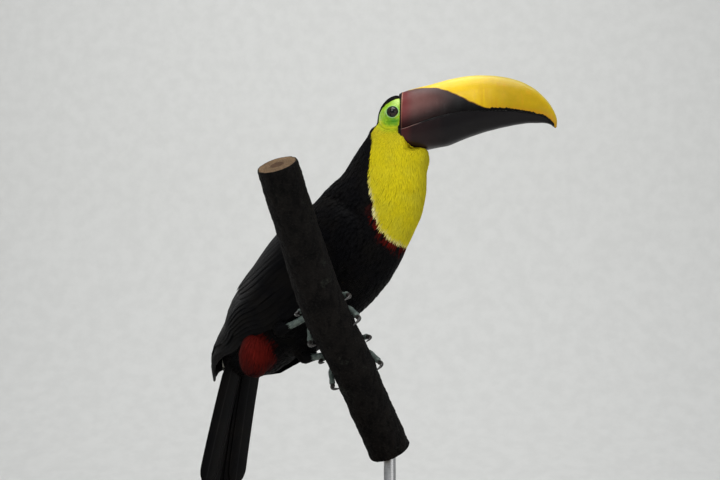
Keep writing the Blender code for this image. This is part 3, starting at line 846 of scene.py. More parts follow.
def rounded(along):
    """Half width of a broad feather along its length, as a share of the widest."""
    return np.clip(along / 0.3, 0.03, 1) ** 0.5 * (1 - np.clip((along - 0.66) / 0.34, 0, 1) ** 2.3) ** 0.5


def pointed(along):
    """Half width of a narrow soft feather."""
    return np.sin(np.pi * np.clip(along, 0.0, 1.0) ** 0.8) ** 0.9


def blade(along):
    """Half width of a flight feather: even, with a blunt tip."""
    return np.clip(along / 0.12, 0.03, 1) ** 0.4 * (1 - np.clip((along - 0.86) / 0.14, 0, 1) ** 2.4) ** 0.5


def vane_form(around, rows, outline, shaft=0.0):
    """A thin closed vane in unit sizes, from a sphere: across, along and up, and its triangles."""
    bm = bmesh.new()
    bmesh.ops.create_uvsphere(bm, u_segments=around, v_segments=rows, radius=1)
    bmesh.ops.triangulate(bm, faces=bm.faces)
    at = np.array([vert.co for vert in bm.verts])
    faces = np.array([[vert.index for vert in face.verts] for face in bm.faces])
    bm.free()
    ring = np.maximum(np.hypot(at[:, 0], at[:, 1]), 1e-9)
    pole = ring < 1e-6
    x, up = (np.where(pole, 0, at[:, k] / ring) for k in range(2))
    along = (1 - at[:, 2]) / 2
    ridge = 1 + shaft * (np.abs(x) < 0.05) * (up > 0) * (1 - along)
    return dict(across=x * np.where(pole, 0, outline(along)), along=along, up=up * ridge, faces=faces)


def fringed(form, blades=5):
    """A vane whose tip frays into narrow blades."""
    parts = [form]
    for lean in np.linspace(-1, 1, blades):
        narrow = vane_form(3, 3, pointed)
        along = 0.35 + (0.72 - 0.13 * lean**2) * narrow["along"]
        across = lean * (0.45 + 0.42 * narrow["along"]) + 0.24 * narrow["across"]
        parts.append(dict(across=across, along=along, up=narrow["up"] * 0.9 + 0.35, faces=narrow["faces"]))
    start = np.cumsum([0] + [len(part["along"]) for part in parts])
    joined = {key: np.concatenate([part[key] for part in parts]) for key in ("across", "along", "up")}
    return dict(joined, faces=np.concatenate([part["faces"] + k for part, k in zip(parts, start)]))


def lay(name, form, lines, ups, sizes, material, slot, unwrap, marks, soft, tilt=0.0, nodes=()):
    """Copies of a vane laid along lines of points, joined in one mesh.

    lines and ups hold each vane's middle line and its outward directions. sizes are its half width,
    its thickness and its arch, unwrap its place on the map for the bake, marks the numbers it carries."""
    count, knots = lines.shape[:2]
    along = form["along"] * (knots - 1)
    i = np.minimum(along.astype(int), knots - 2)
    f = (along - i)[None, :, None]
    tangents = unit(np.gradient(lines, axis=1))
    middle, run, up = (values[:, i] * (1 - f) + values[:, i + 1] * f for values in (lines, tangents, ups))
    run = unit(run)
    side = unit(np.cross(run, unit(up)))
    up = np.cross(side, run)
    half, thick, arch, tilt = (np.broadcast_to(v, count)[:, None, None] for v in (*sizes, tilt))
    x, z = form["across"][None, :, None], form["up"][None, :, None]
    fade = np.sin(np.pi * np.clip(form["along"], 0.02, 0.98))[None, :, None] ** 0.3
    points = middle + side * x * half + up * (z * thick * fade - arch * x**2 + tilt * x)
    size = len(form["across"])
    faces = (form["faces"][None] + size * np.arange(count)[:, None, None]).reshape(-1, 3)
    mesh = bpy.data.meshes.new(name)
    mesh.from_pydata(points.reshape(-1, 3) * MM, [], faces)
    mesh.shade_smooth()
    set_values(mesh, reach=np.tile(form["along"], count), **{k: np.repeat(v, size) for k, v in marks.items()})
    vane = np.stack([form["across"] / 2 + 0.5, form["along"]], -1)
    set_uv(mesh, "vane", np.tile(vane, (count, 1)))
    set_uv(mesh, "OFBake", (unwrap[:, None] + (vane - 0.5)[None] * BAKE_PATCH).reshape(-1, 2))
    lean = up * np.where(z >= -0.01, 1.0, -1.0) + side * x * soft
    mesh.normals_split_custom_set_from_vertices(unit(lean).reshape(-1, 3))
    piece(name, mesh, material, slot, *nodes)


def lay_black(name, form, lines, ups, sizes, material, uneven, soft, **settings):
    """Vanes laid outside all coloured marks, a little uneven in tone."""
    count = len(lines)
    marks = dict(tone=rng.normal(0, uneven, count), **{f"{mark}_mark": np.zeros(count) for mark in MARKS})
    unwrap = coat_unwrap(read_marks(lines[:, 0]))
    lay(name, form, lines, ups, sizes, material, "plumage_black", unwrap, marks, soft, **settings)


def skin_tree(mesh):
    """A search tree of a mesh's faces."""
    points = points_of(mesh)
    return BVHTree.FromPolygons([Vector(p) for p in points], [tuple(face.vertices) for face in mesh.polygons])


def scattered(mesh, spacing):
    """Roots spread over a mesh, no closer together than the spacing wanted at its vertices."""
    mesh.calc_loop_triangles()
    corners = np.empty(len(mesh.loop_triangles) * 3, np.int32)
    mesh.loop_triangles.foreach_get("vertices", corners)
    corners = corners.reshape(-1, 3)
    points = points_of(mesh)
    a, b, c = (points[corners[:, k]] for k in range(3))
    wanted = spacing[corners].mean(1)
    weight = np.linalg.norm(np.cross(b - a, c - a), axis=1) / 2 / wanted**2
    picked = rng.choice(len(corners), int(weight.sum() * 5), p=weight / weight.sum())
    s, t = rng.random((2, len(picked)))
    s, t = np.where(s + t > 1, 1 - s, s)[:, None], np.where(s + t > 1, 1 - t, t)[:, None]
    roots = a[picked] + s * (b - a)[picked] + t * (c - a)[picked]
    wanted = wanted[picked]
    tree = lookup_of(roots)
    free, kept = np.ones(len(roots), bool), []
    for i, root in enumerate(roots):
        if free[i]:
            kept.append(i)
            free[[j for _, j, _ in tree.find_range(root, wanted[i])]] = False
    return roots[kept]


def flow(tree, roots, lie, lengths, steps=3):
    """Lines that run over the skin from roots down the lie of the coat, and the skin's normals along them."""
    lines, ups = np.zeros((2, len(roots), steps + 1, 3))
    for n, (root, way, length) in enumerate(zip(roots, lie, lengths)):
        at, normal, _, _ = tree.find_nearest(Vector(root))
        way = Vector(way)
        for k in range(steps + 1):
            lines[n, k], ups[n, k] = at, normal
            way = (way - normal * way.dot(normal)).normalized()
            at, normal, _, _ = tree.find_nearest(at + way * (length / steps))
    return lines, ups


def lie_of_coat(points, found):
    """Direction of the feathers: back from the bill on the head, down the spine, down legs and tail."""
    on_head = smooth(-34, -4, found["local"][:, 2])[:, None]
    lie = -HEAD[:3, 0] * on_head - headings(SPINE, found["station"]) * (1.12 - on_head)
    share, down = thigh_share(points)
    lie = lie * (1 - share[:, None]) + down * share[:, None] * 1.4
    marks = found["marks"]
    on_tufts = np.maximum(marks["white_mark"], marks["red_mark"] * found["at_tail"])[:, None]
    return unit(lie * (1 - on_tufts) + tail_axes()[0] * on_tufts)


def coat_unwrap(found):
    """Place of each root on a map of the skin: round and along the spine, and round the skull above it."""
    local, neck = found["local"], 0.86
    body = np.stack([found["angle"] / 360 + 0.5, found["station"] / 11 * neck], -1)
    around = np.arctan2(-local[:, 1], -local[:, 0]) / math.tau + 0.5
    height = np.arcsin(np.clip(local[:, 2] / np.linalg.norm(local, axis=1), -1, 1)) / math.pi + 0.5
    head = np.stack([around, neck + (0.995 - neck) * height], -1)
    return np.where((local[:, 2] > -12)[:, None], head, body) * 0.99 + 0.005


def coat_sizes(found, points):
    """Kind of feather at each place, with its spacing, length, half width and lift."""
    marks, growth = found["marks"], smooth(-10, -75, found["local"][:, 2])
    everywhere = np.full(len(points), True)
    kinds = {
        "black": (everywhere, 1.5 + 1.3 * growth, 6.0 + 9.0 * growth, 1.0 + 1.9 * growth, 0.6 + 1.0 * growth),
        "thigh": (thigh_share(points)[0] > 0.5, 1.5, 11.0, 0.9, 1.5),
        "undertail": ((marks["red_mark"] > 0.5) & found["at_tail"], 1.4, 15.0, 0.95, 2.6),
        "uppertail": (marks["white_mark"] > 0.5, 1.8, 13.0, 1.2, 0.6),
        "bib": (found["margin"] > 0, 0.72 + 0.26 * growth, 4.0 + 5.0 * growth, 0.36 + 0.16 * growth,
                0.5 + 0.5 * growth),
    }
    names, sizes = np.full(len(points), "black", dtype="<U10"), np.zeros((4, len(points)))
    for name, (there, *values) in kinds.items():
        names[there] = name
        for k, value in enumerate(values):
            sizes[k] = np.where(there, value, sizes[k])
    band = (marks["red_mark"] > 0.4) & (names == "black")
    for k, value in enumerate((1.6, 12.5, 1.2)):
        sizes[k] = np.where(band, value, sizes[k])
    return names, sizes


def coat(mesh, tree):
    """All the small feathers of head, body and legs, in one joined mesh for each kind."""
    points = points_of(mesh)
    roots = scattered(mesh, coat_sizes(read_marks(points), points)[1][0])
    found = read_marks(roots)
    local = found["local"]
    behind_bill = (local[:, 1] / 20.2) ** 2 + ((local[:, 2] - 0.5) / 28.6) ** 2 < 0.98
    hidden = (found["bare"] > 0.3) | (behind_bill & (local[:, 0] > -1.0)) | covered_by_wing(found)
    roots = roots[~hidden]
    found = read_marks(roots)
    lie = unit(lie_of_coat(roots, found) + rng.normal(0, 0.06, (len(roots), 3)))
    unwrap = coat_unwrap(found)
    length = coat_sizes(found, roots)[1][1]
    found = read_marks(roots + lie * length[:, None] * 0.75)
    names, (_, length, half, lift) = coat_sizes(found, roots)
    vary = rng.normal(1, 0.09, (3, len(roots))).clip(0.75, 1.3)
    lines, ups = flow(tree, roots, lie, length * vary[0])
    rise = np.array([0.0, 0.45, 0.78, 1.0])
    heights = -0.45 + (lift * vary[1] + 0.45)[:, None] * rise
    lines = lines + ups * heights[..., None]
    numbers = dict(tone=rng.normal(0, 0.05, len(roots)), **found["marks"])
    tuft = vane_form(4, 6, pointed)
    black = plumage("plumage_black", 0.5, 26, 6, 0.1, 0.025)
    bib = plumage("plumage_bib", 0.75, 8, 3, 0.06)
    thigh = plumage("plumage_thigh", 0.55, 14, 5, 0.08, 0.03)
    looks = {
        "black": (fringed(vane_form(4, 5, rounded)), black, "plumage_black"),
        "bib": (vane_form(4, 4, pointed), bib, "plumage_bib"),
        "thigh": (vane_form(4, 5, pointed), thigh, "plumage_black"),
        "undertail": (tuft, plumage("plumage_red", 0.7, 14, 5, 0.08), "plumage_red"),
        "uppertail": (tuft, plumage("plumage_white", 0.7, 14, 5, 0.08), "plumage_white"),
    }
    for kind, (form, material, slot) in looks.items():
        chosen = np.flatnonzero(names == kind)
        if kind == "black":
            chosen = chosen[np.argsort(found["local"][chosen, 2])]
        parts = np.array_split(chosen, len(chosen) * len(form["faces"]) // MOST_TRIANGLES + 1)
        for number, some in enumerate(parts, 1):
            name = f"coat_{kind}" if len(parts) == 1 else f"coat_{kind}_{number}"
            sizes = (half[some] * vary[2][some], 0.09, half[some] * 0.12)
            marks = {key: value[some] for key, value in numbers.items()}
            lay(name, form, lines[some], ups[some], sizes, material, slot, unwrap[some], marks, 0.5)
    heel_tufts(tuft, thigh)


def heel_tufts(form, material):
    """Rings of feathers that hang from the heels over the top of the scaled legs."""
    lines, ups, around = [], [], 15
    for spec in LEGS.values():
        _, heel, ball = leg_places(spec)
        run = unit(ball - heel)
        side = unit(np.cross(run, SKEW))
        for ring, start in enumerate((-1.0, 1.5, 4.0)):
            for k in range(around):
                turn = math.tau * (k + 0.5 * ring + rng.uniform(-0.2, 0.2)) / around
                out = side * math.cos(turn) + np.cross(side, run) * math.sin(turn)
                along = start + rng.uniform(8.5, 10.5) * np.linspace(0, 1, 4)
                radius = np.interp(along, [-1, 5, 9, 15], [6.2, 5.6, 5.0, 4.7])
                lines.append(heel + run * along[:, None] + out * radius[:, None])
                ups.append(np.repeat(out[None], 4, 0))
    lay_black("coat_heels", form, np.array(lines), np.array(ups), (1.25, 0.1, 0.12), material, 0.05, 0.5)


def covered_by_wing(found):
    """True where long wing feathers hide the skin."""
    station, angle = found["station"], np.abs(found["angle"])
    stations, lows, highs = np.array(WING)[::-1, :3].T
    low, high = np.interp(station, stations, lows), np.interp(station, stations, highs)
    under_arm = (station < 4.9) & (station > 1.2) & (angle > low + 9) & (angle < np.minimum(high, 176) - 7)
    return under_arm | ((found["marks"]["white_mark"] > 0.5) & (station > 1.15))


# ---------------------------------------------------------------- wings and tail

# Rows of long feathers on a folded wing: count, across the wing from and to, root and tip along it
# at the lower and at the upper end of the row, half width, depth as a share of the wing's thickness.
WING_ROWS = {
    "primaries": (10, (0.05, 0.52), (0.44, 0.52), (0.80, 0.95), 7.5, (0.95, 0.75)),
    "secondaries": (12, (0.20, 0.82), (0.42, 0.44), (0.69, 0.88), 7.5, (0.62, 0.42)),
    "tertials": (5, (0.74, 0.97), (0.40, 0.38), (0.90, 0.85), 8.5, (0.34, 0.2)),
    "primary_coverts": (8, (0.05, 0.34), (0.38, 0.40), (0.59, 0.60), 6.0, (0.35, 0.3)),
    "greater_coverts": (17, (0.05, 0.96), (0.32, 0.35), (0.49, 0.53), 6.2, (0.22, 0.16)),
    "median_coverts": (21, (0.04, 0.96), (0.26, 0.29), (0.385, 0.43), 5.0, (0.08, 0.02)),
    "lesser_coverts": (24, (0.04, 0.96), (0.225, 0.25), (0.325, 0.37), 4.4, (0.0, -0.05)),
}
LONG_ROWS = ("primaries", "secondaries", "tertials")
KNOTS = 9  # points of the middle line of a long feather


def wing_row(side, name, form, material):
    """One row of long feathers on one folded wing."""
    count, ends, roots, tips, half, depths = WING_ROWS[name]
    q, t = np.linspace(0, 1, count), np.linspace(0, 1, KNOTS)[None]
    root, tip, depth = between(roots, q), between(tips, q), between(depths, q)[:, None]
    if name == "primaries":
        tip = tip + 0.06 * np.sin(np.pi * q**0.8)
    tip = tip + rng.normal(0, 0.004, count)
    length = root[:, None] + (tip - root)[:, None] * t
    across = np.repeat(between(ends, q)[:, None], KNOTS, 1) + rng.normal(0, 0.003, (count, 1))
    slope = 0.5 if name in LONG_ROWS else -1.2
    rise = slope * (t - 0.55) - 2.6 * smooth(0.70, 0.93, length)
    lines = wing_points(side, length, across, depth, rise)
    ups = unit(wing_points(side, length, across, depth, rise + 1) - lines)
    nodes = (f"wing_{SIDE_NAMES[side]}",) if name == "primaries" else ()
    lay_black(f"{name}_{SIDE_NAMES[side]}", form, lines, ups, (half, 0.22, half * 0.13), material, 0.08, 0.35,
              tilt=-side * 0.85, nodes=nodes)


def wings():
    """All the rows of feathers on both folded wings."""
    long_look = (vane_form(12, 26, blade, 0.8), plumage("flight_feathers", 0.42, 150, 10, 0.1, 0.03, 1.5))
    short_look = (vane_form(8, 14, rounded, 0.5), plumage("wing_coverts", 0.46, 60, 7, 0.1, 0.025, 1.7))
    for side in (RIGHT, LEFT):
        for name in WING_ROWS:
            wing_row(side, name, *(long_look if name in LONG_ROWS else short_look))


def tail():
    """Ten tail feathers, the middle pair above the rest."""
    down, right, back = tail_axes()
    t = np.linspace(0, 1, KNOTS)[:, None]
    lines = []
    for pair, (length, spread) in enumerate(zip(TAIL_LENGTHS, TAIL_SPREAD)):
        for sign in (-1, 1):
            turn = math.radians(spread * sign)
            run = down * math.cos(turn) + right * math.sin(turn)
            drop = TAIL_STEP * (pair + (0.4 if sign > 0 else 0))
            root = np.array(TAIL_ROOT) + right * sign * (1.2 + ROOT_SPACING * pair) - back * drop
            sag = back * 1.2 * (t * (1 - t)) * 4 * (0.5 + 0.1 * pair)
            lines.append(root + run * length * t + sag - back * 0.4)
    lines = np.array(lines)
    material = plumage("tail_feathers", 0.42, 190, 11, 0.1, 0.05, 3.2)
    lay_black("tail_feathers", vane_form(16, 44, blade, 1.0), lines, np.broadcast_to(back, lines.shape),
              (VANE_WIDTH / 2, 0.5, 1.0), material, 0.07, 0.35, nodes=("tail",))


# ---------------------------------------------------------------- bill


def bill_section(u, phi):
    """Points of the bill in the head's frame: along its rows, and round them from +Y over the ridge."""
    ridge_x, ridge_z, low_x, low_z, half = np.moveaxis(curve(BILL, u), -1, 0)
    s, c = np.sin(phi), np.cos(phi)
    full = smooth(38, 14, low_x) * (s < 0)
    side = half * (1 - BILL_EGG * s) * np.sign(c) * np.abs(c) ** (BILL_SQUARE - 0.26 * full)
    low_z = low_z - 2.0 * full * smooth(-6, 6, low_x)
    return np.stack([at_level(ridge_x, low_x, s), side, at_level(ridge_z, low_z, s)], -1)


def at_level(high, low, s):
    """From low, where s is -1, to high, where it is 1."""
    return (high + low) / 2 + (high - low) / 2 * s


def gape_height(u):
    """Where each section of the bill meets the gape: -1 at its lower edge, 1 at its ridge."""
    s = np.linspace(-1, 1, 401)
    ridge_x, ridge_z, low_x, low_z, _ = (v[:, None] for v in np.moveaxis(curve(BILL, u), -1, 0))
    gape_x, gape_z = sampled(GAPE_LINE, 300).T
    over = at_level(ridge_z, low_z, s) - np.interp(at_level(ridge_x, low_x, s), gape_x, gape_z)
    return s[(over > 0).argmax(1)]


def notches(x):
    """Depth of the small irregular notches of the upper cutting edge."""
    phase = np.cumsum(rng.normal(1, 0.16, 80))
    at = np.interp(x, 40 + 3.3 * phase, np.arange(80))
    saw = (at % 1) ** 1.6
    strength = np.interp(at, np.arange(80), rng.uniform(0.35, 1, 80))
    return saw * strength * (smooth(60, 92, x) * 0.75 + 0.25) * smooth(146, 138, x) * smooth(28, 40, x)


def mandible(name, upper, material, slot, node):
    """One half of the bill, closed along its cutting edges and hollowed between them."""
    rings, around, outside = 330, 60, 0.9
    up = 1 if upper else -1
    us = between((0.15, 12.0 if upper else 11.6), np.linspace(0, 1, rings + 1))
    meet = gape_height(us)
    edge_x = bill_section(us, np.arcsin(meet))[:, 0]
    rows = curve(BILL, us)
    height = np.linalg.norm(rows[:, :2] - rows[:, 2:4], axis=1) / 2
    gap = 0.12 / height
    gap = gap + 0.75 * notches(edge_x) / height if upper else gap - 0.05 / height
    start = np.arcsin(np.clip(meet + gap * up, -0.999, 0.999))
    border_x, border_z = sampled(BORDER, 200).T

    def place(across, along):
        u, begin = (np.interp(along * rings, np.arange(rings + 1), values) for values in (us, start))
        q = np.clip(across / outside, 0, 1)
        span = up * np.pi - 2 * begin
        phi = begin + span * q
        points = bill_section(u, phi)
        inside = np.clip((across - outside) / 0.1, 0, 1)
        left, right = bill_section(u, begin), bill_section(u, begin + span)
        palate = right + (left - right) * inside[:, None]
        palate[:, 2] += up * 1.6 * np.sin(np.pi * inside)
        points = np.where((across > outside)[:, None], palate, points)
        normal = unit(points - (left + right) / 2) * [0.3, 1, 1]
        x = points[:, 0]
        rim = np.exp(-(((x - 0.3) / 0.9) ** 2)) * 0.4
        growth = 0.05 * np.sin(x / 2.3 + 0.4 * wave_noise(points, 14, 5)) * smooth(0, 12, x)
        from_edge = np.minimum(q, 1 - q) * np.abs(span) * np.interp(u, us, height)
        lip = 0.25 * np.exp(-(((from_edge - 1.2) / 0.9) ** 2))
        moved = (rim + growth + lip) * (across < outside) * smooth(0, 1.0, from_edge)
        points = points + unit(normal) * moved[:, None]
        over = points[:, 2] - np.interp(points[:, 0], border_x, border_z)
        return from_head(points), dict(border_mm=over, base_mm=points[:, 0], edge_mm=from_edge,
                                       ridge=np.sin(phi) * (across < outside), inner=(across > 0.905) * 1.0)

    bm, found = marked_surface(around, rings + 1, place)
    close_ends(bm)
    mesh = mesh_of(name, bm, 42)
    set_values(mesh, **found)
    piece(name, mesh, material, slot, node)


def bill_upper_material():
    """Yellow ridge over chestnut that darkens forward, with streaks, a thin rim at the base, and painted
    highlight and shade.
    """
    material, tree = new_material("bill_upper_horn", roughness=0.36, specular_ior_level=0.1,
                                  coat_weight=0.06, coat_roughness=0.2)
    base, over, edge, ridge = (mark(tree, name) for name in ("base_mm", "border_mm", "edge_mm", "ridge"))
    streaks, forward = grain(tree, 330, (1.0, 0.35, 0.07), 5.0, 0.6, 0.2), step(base, 62, 92)

    # Yellow: above the ragged border, forward of it down to a toothed strip, and along the crest.
    ragged = calc("ADD", over, product(calc("SUBTRACT", grain(tree, 130, detail=5.0), 0.5), 2.6))
    teeth = product(calc("SUBTRACT", grain(tree, 300, (1, 1, 0.3), 3.0), 0.5), 3.4)
    strip = calc("ADD", step(base, 84, 150, 3.0, 0.5), teeth)
    bright = calc("MAXIMUM", step(ragged, -0.45, 0.45), step(base, 94, 104))
    bright = product(bright, step(calc("SUBTRACT", edge, strip), -0.25, 0.25))
    bright = calc("MAXIMUM", bright, product(step(ridge, 0.90, 0.94), step(base, 5, 9)))
    # painted highlight: lighter towards the ridge, with a pale band along it
    yellow = mix(step(ridge, 0.35, 0.9), (0.78, 0.50, 0.004), (0.88, 0.60, 0.010))
    yellow = cover(yellow, (0.90, 0.74, 0.15), step(ridge, 0.72, 0.93), step(base, 8, 40), 0.6)
    # painted shade: darker towards the tip
    yellow = dimmed(yellow, step(base, 62, 112, 1.0, 0.56))
    yellow = cover(yellow, (0.52, 0.27, 0.006), step(streaks, 0.38, 0.66), forward, step(ridge, 0.92, 0.5),
                   step(grain(tree, 60), 0.35, 0.6), 0.75)
    # painted shade: darker orange along the cutting edge
    yellow = cover(yellow, (0.50, 0.22, 0.010), step(edge, 7.0, 0.5), forward, 0.6)

    # Chestnut to black, redder at the base and streaked behind, with a painted grey sheen under the border
    # and painted shade growing towards the cutting edge.
    dark = mix(step(base, 14, 58), (0.15, 0.060, 0.053), (0.012, 0.0105, 0.0105))
    dark = cover(dark, (0.16, 0.024, 0.024), step(base, 15, 3), 0.95)
    # painted sheen: grey under the border, on the upper part of the dark horn
    dark = cover(dark, (0.105, 0.085, 0.085), step(over, -11, -2), step(base, 62, 30), 0.45)
    dark = cover(dark, (0.19, 0.095, 0.085), step(streaks, 0.5, 0.75), step(base, 55, 20),
                 step(base, 4, 16), 0.25)
    # painted shade: the dark horn darkens towards the cutting edge, away from the light above
    dark = dimmed(dark, step(edge, 3, 19, 0.14, 1.0))

    # Over both: a brown line on the border, a pale rim and a dark seam at the base, a dark cutting edge.
    colour = mix(bright, dark, yellow)
    colour = cover(colour, (0.30, 0.12, 0.010), step(ragged, -0.9, -0.1), step(ragged, 1.1, 0.3),
                   step(base, 86, 74), step(base, 30, 60, 0.2, 0.75))
    colour = cover(colour, (0.42, 0.20, 0.12), step(base, 1.9, 1.3), step(base, 0.5, 0.9),
                   step(ridge, -0.4, 0.7, 0.15, 0.75))
    colour = cover(colour, (0.008, 0.004, 0.004), step(base, 0.8, 0.3))
    colour = cover(colour, (0.005, 0.003, 0.003), step(edge, 0.9, 0.5), step(base, 86, 60), 0.9)
    colour = cover(colour, (0.02, 0.004, 0.003), mark(tree, "inner"))
    return finished(material, base_color=mottled(colour, 120.0, 0.10),
                    coat_weight=step(bright, 0.0, 1.0, 0.0, 0.2),
                    roughness=step(grain(tree, 420), 0.3, 0.7, 0.28, 0.42),
                    normal=bump(grain(tree, 800), 0.04, 0.5, bump(streaks, 0.22, 0.5)))


def bill_lower_material():
    """Nearly black horn, maroon at the base, with a line along the gape: pale near the base, then dark with
    painted shade.
    """
    material, tree = new_material("bill_lower_horn", roughness=0.36, specular_ior_level=0.14,
                                  coat_weight=0.06, coat_roughness=0.25)
    base, edge = mark(tree, "base_mm"), mark(tree, "edge_mm")
    streaks = grain(tree, 150, (1.0, 0.4, 0.10), 4.0, 0.55, 0.2)
    colour = mix(step(base, 12, 50), (0.020, 0.0085, 0.0090), (0.0060, 0.0048, 0.0054))
    colour = cover(colour, (0.060, 0.0125, 0.0125), step(base, 13, 4))
    colour = cover(colour, (0.045, 0.020, 0.020), step(streaks, 0.5, 0.75), step(base, 60, 10), 0.25)
    colour = cover(colour, (0.30, 0.16, 0.13), step(edge, 1.1, 0.5), step(base, 22, 12), 0.55)
    # painted shade along the gape, forward of the pale line
    colour = cover(colour, (0.0012, 0.0010, 0.0010), step(edge, 1.7, 0.9), step(base, 16, 26))
    colour = cover(colour, (0.008, 0.004, 0.004), step(base, 1.0, 0.4))
    colour = cover(colour, (0.02, 0.004, 0.003), mark(tree, "inner"))
    return finished(material, base_color=mottled(colour, 120.0, 0.15), normal=bump(streaks, 0.2, 0.5),
                    roughness=step(grain(tree, 420), 0.3, 0.7, 0.28, 0.42))


# ---------------------------------------------------------------- eyes and the bare skin round them


def eye_material():
    """Dark iris round a black pupil, under a wet clear surface."""
    material, tree = new_material("eye", roughness=0.2, specular_ior_level=0.1,
                                  coat_weight=0.42, coat_roughness=0.02)
    gaze, fibres = mark(tree, "gaze"), grain(tree, 900, distortion=0.5)
    colour = mix(step(fibres, 0.3, 0.7), (0.010, 0.006, 0.005), (0.034, 0.019, 0.012))
    colour = cover(colour, (0.006, 0.009, 0.007), step(gaze, 36, 50))
    colour = cover(colour, (0.0015, 0.0012, 0.0018), step(gaze, 25, 21))
    return finished(material, base_color=colour, roughness=step(fibres, 0.3, 0.7, 0.12, 0.2))


def eye(side):
    """An eyeball with a slightly raised cornea, looking outwards and a little forward."""
    x, y, z = EYE_AT
    look = unit(np.array([0.08, -side, 0.03]))
    turn = Vector((0, 0, 1)).rotation_difference(Vector(look)).to_matrix().to_4x4()
    bm = bmesh.new()
    bmesh.ops.create_uvsphere(bm, u_segments=64, v_segments=48, radius=EYE_RADIUS, matrix=turn)
    at = np.array([vert.co for vert in bm.verts])
    gaze = np.degrees(np.arccos(np.clip(at @ look / EYE_RADIUS, -1, 1)))
    at = at * (1 + 0.045 * smooth(46, 8, gaze))[:, None] + (x, -side * y, z)
    for vert, point in zip(bm.verts, from_head(at) * MM):
        vert.co = point
    bmesh.ops.recalc_face_normals(bm, faces=bm.faces)
    name = f"eye_{SIDE_NAMES[side]}"
    mesh = mesh_of(f"{name}_ball", bm)
    set_values(mesh, gaze=gaze)
    piece(f"{name}_ball", mesh, EYE, "eye", name)


def bare_skin_material():
    """Bare yellow-green skin, with a painted pale highlight in front of and over the eye, and deep green
    below it.
    """
    material, tree = new_material("bare_face_skin", roughness=0.48, specular_ior_level=0.2,
                                  subsurface_weight=0.08, subsurface_radius=(0.002, 0.0015, 0.0006))
    wrinkles = grain(tree, 420)
    colour = mix(step(wrinkles, 0.3, 0.7), (0.22, 0.44, 0.010), (0.36, 0.60, 0.022))
    # the pale mark is a painted highlight in front of and over the eye
    for name, tint in dict(yellow=(0.56, 0.60, 0.012), deep=(0.055, 0.25, 0.006), pale=(0.58, 0.80, 0.20),
                           lid=(0.36, 0.64, 0.26), rim=(0.012, 0.016, 0.014)).items():
        colour = cover(colour, tint, mark(tree, name))
    return finished(material, base_color=mottled(colour, 500.0, 0.18), normal=bump(wrinkles, 0.35, 0.6),
                    roughness=step(wrinkles, 0.3, 0.7, 0.34, 0.52))


def face_patch(side, tree):
    """Eyelids and the bare skin round them, from the eyeball out under the feathers' edge."""
    inner, lip, lid = EYE_RADIUS * 0.80, EYE_RADIUS * 0.87, 0.16
    eye_x, eye_y, eye_z = EYE_AT

    def cast(x, z):
        """How far out the skin lies at places in the head's side view."""
        start = from_head(np.stack([x, np.full_like(x, -side * 60), z], -1))
        way = Vector(HEAD[:3, :3] @ np.array([0, side, 0]))
        hits = [tree.ray_cast(Vector(origin), way)[0] for origin in start]
        return np.array([16.0 if at is None else abs(to_head(np.array(at)[None])[0, 1]) for at in hits])

    def place(across, along):
        theta = across * math.tau
        reach = bare_reach(np.degrees(theta))
        far = reach + 1.2
        grow = np.clip((along - lid) / (1 - lid), 0, 1)
        r = np.where(along < lid, between((inner, lip), along / lid), between((lip, far), grow**1.3))
        r = r * np.where(r < lip * 1.5, 1 + 0.02 * np.cos(2 * theta), 1)
        x, z = np.minimum(eye_x + r * np.cos(theta), -0.3), eye_z + r * np.sin(theta)
        ball = eye_y + np.sqrt(np.maximum(EYE_RADIUS**2 - r**2, 0.5))
        near = smooth(lip + 3.6, lip + 0.2, r)
        rise = np.sqrt(np.maximum(EYE_RADIUS**2 - lip**2, 0.5)) + eye_y
        y = (cast(x, z) + 0.55) * (1 - near) + (rise + 0.25) * near
        lid_ridge = 0.5 * np.exp(-(((r - lip - 0.35) / 0.42) ** 2))
        groove = -0.35 * np.exp(-(((r - lip - 1.6) / 0.45) ** 2))
        rays = 0.10 * np.sin(theta * 46 + 1.5 * np.sin(theta * 5)) * smooth(lip + 0.9, lip + 0.3, r)
        folds = 0.16 * np.sin(r * 2.7 + 1.2 * np.sin(theta * 3) + 0.6 * np.sin(theta * 7 + 1))
        y = y + lid_ridge + groove + rays + folds * smooth(lip + 1.5, lip + 3, r) * smooth(far, far - 3, r)
        y = np.where(along < lid, np.minimum(ball + 0.02, rise) + (y - rise) * (along / lid) ** 2, y)
        y = y - 1.3 * smooth(far - 1.6, far, r)
        dx, dz = x - eye_x, z - eye_z
        below = 0.95 * np.exp(-((dx - 1.5) ** 2 / 45 + (dz + 9.6) ** 2 / 13))
        lowest = 0.8 * np.exp(-((dx - 4) ** 2 / 12 + (dz + 13) ** 2 / 3))
        return from_head(np.stack([x, -side * y, z], -1)), dict(
            # painted highlight, in front of and over the eye
            pale=0.9 * np.exp(-((dx - 4.5) ** 2 + (dz - 11.5) ** 2) / 30),
            deep=np.maximum(below, lowest),
            yellow=smooth(4.5, 0.5, reach - r) * smooth(-2, -8, dz),
            lid=smooth(lip + 1.1, lip + 0.6, r) * 0.85,
            rim=smooth(lip + 0.15, lip - 0.15, r),
        )

    bm, found = marked_surface(150, 46, place)
    outward = Vector(from_head(np.array([[eye_x, -side * 80, eye_z]]))[0] * MM)
    if sum(face.normal.dot(outward - face.calc_center_median()) for face in bm.faces) < 0:
        bmesh.ops.reverse_faces(bm, faces=bm.faces)
    mesh = mesh_of(f"face_skin_{SIDE_NAMES[side]}", bm)
    set_values(mesh, **found)
    piece(mesh.name, mesh, BARE_SKIN, "plumage_face")


# ---------------------------------------------------------------- legs


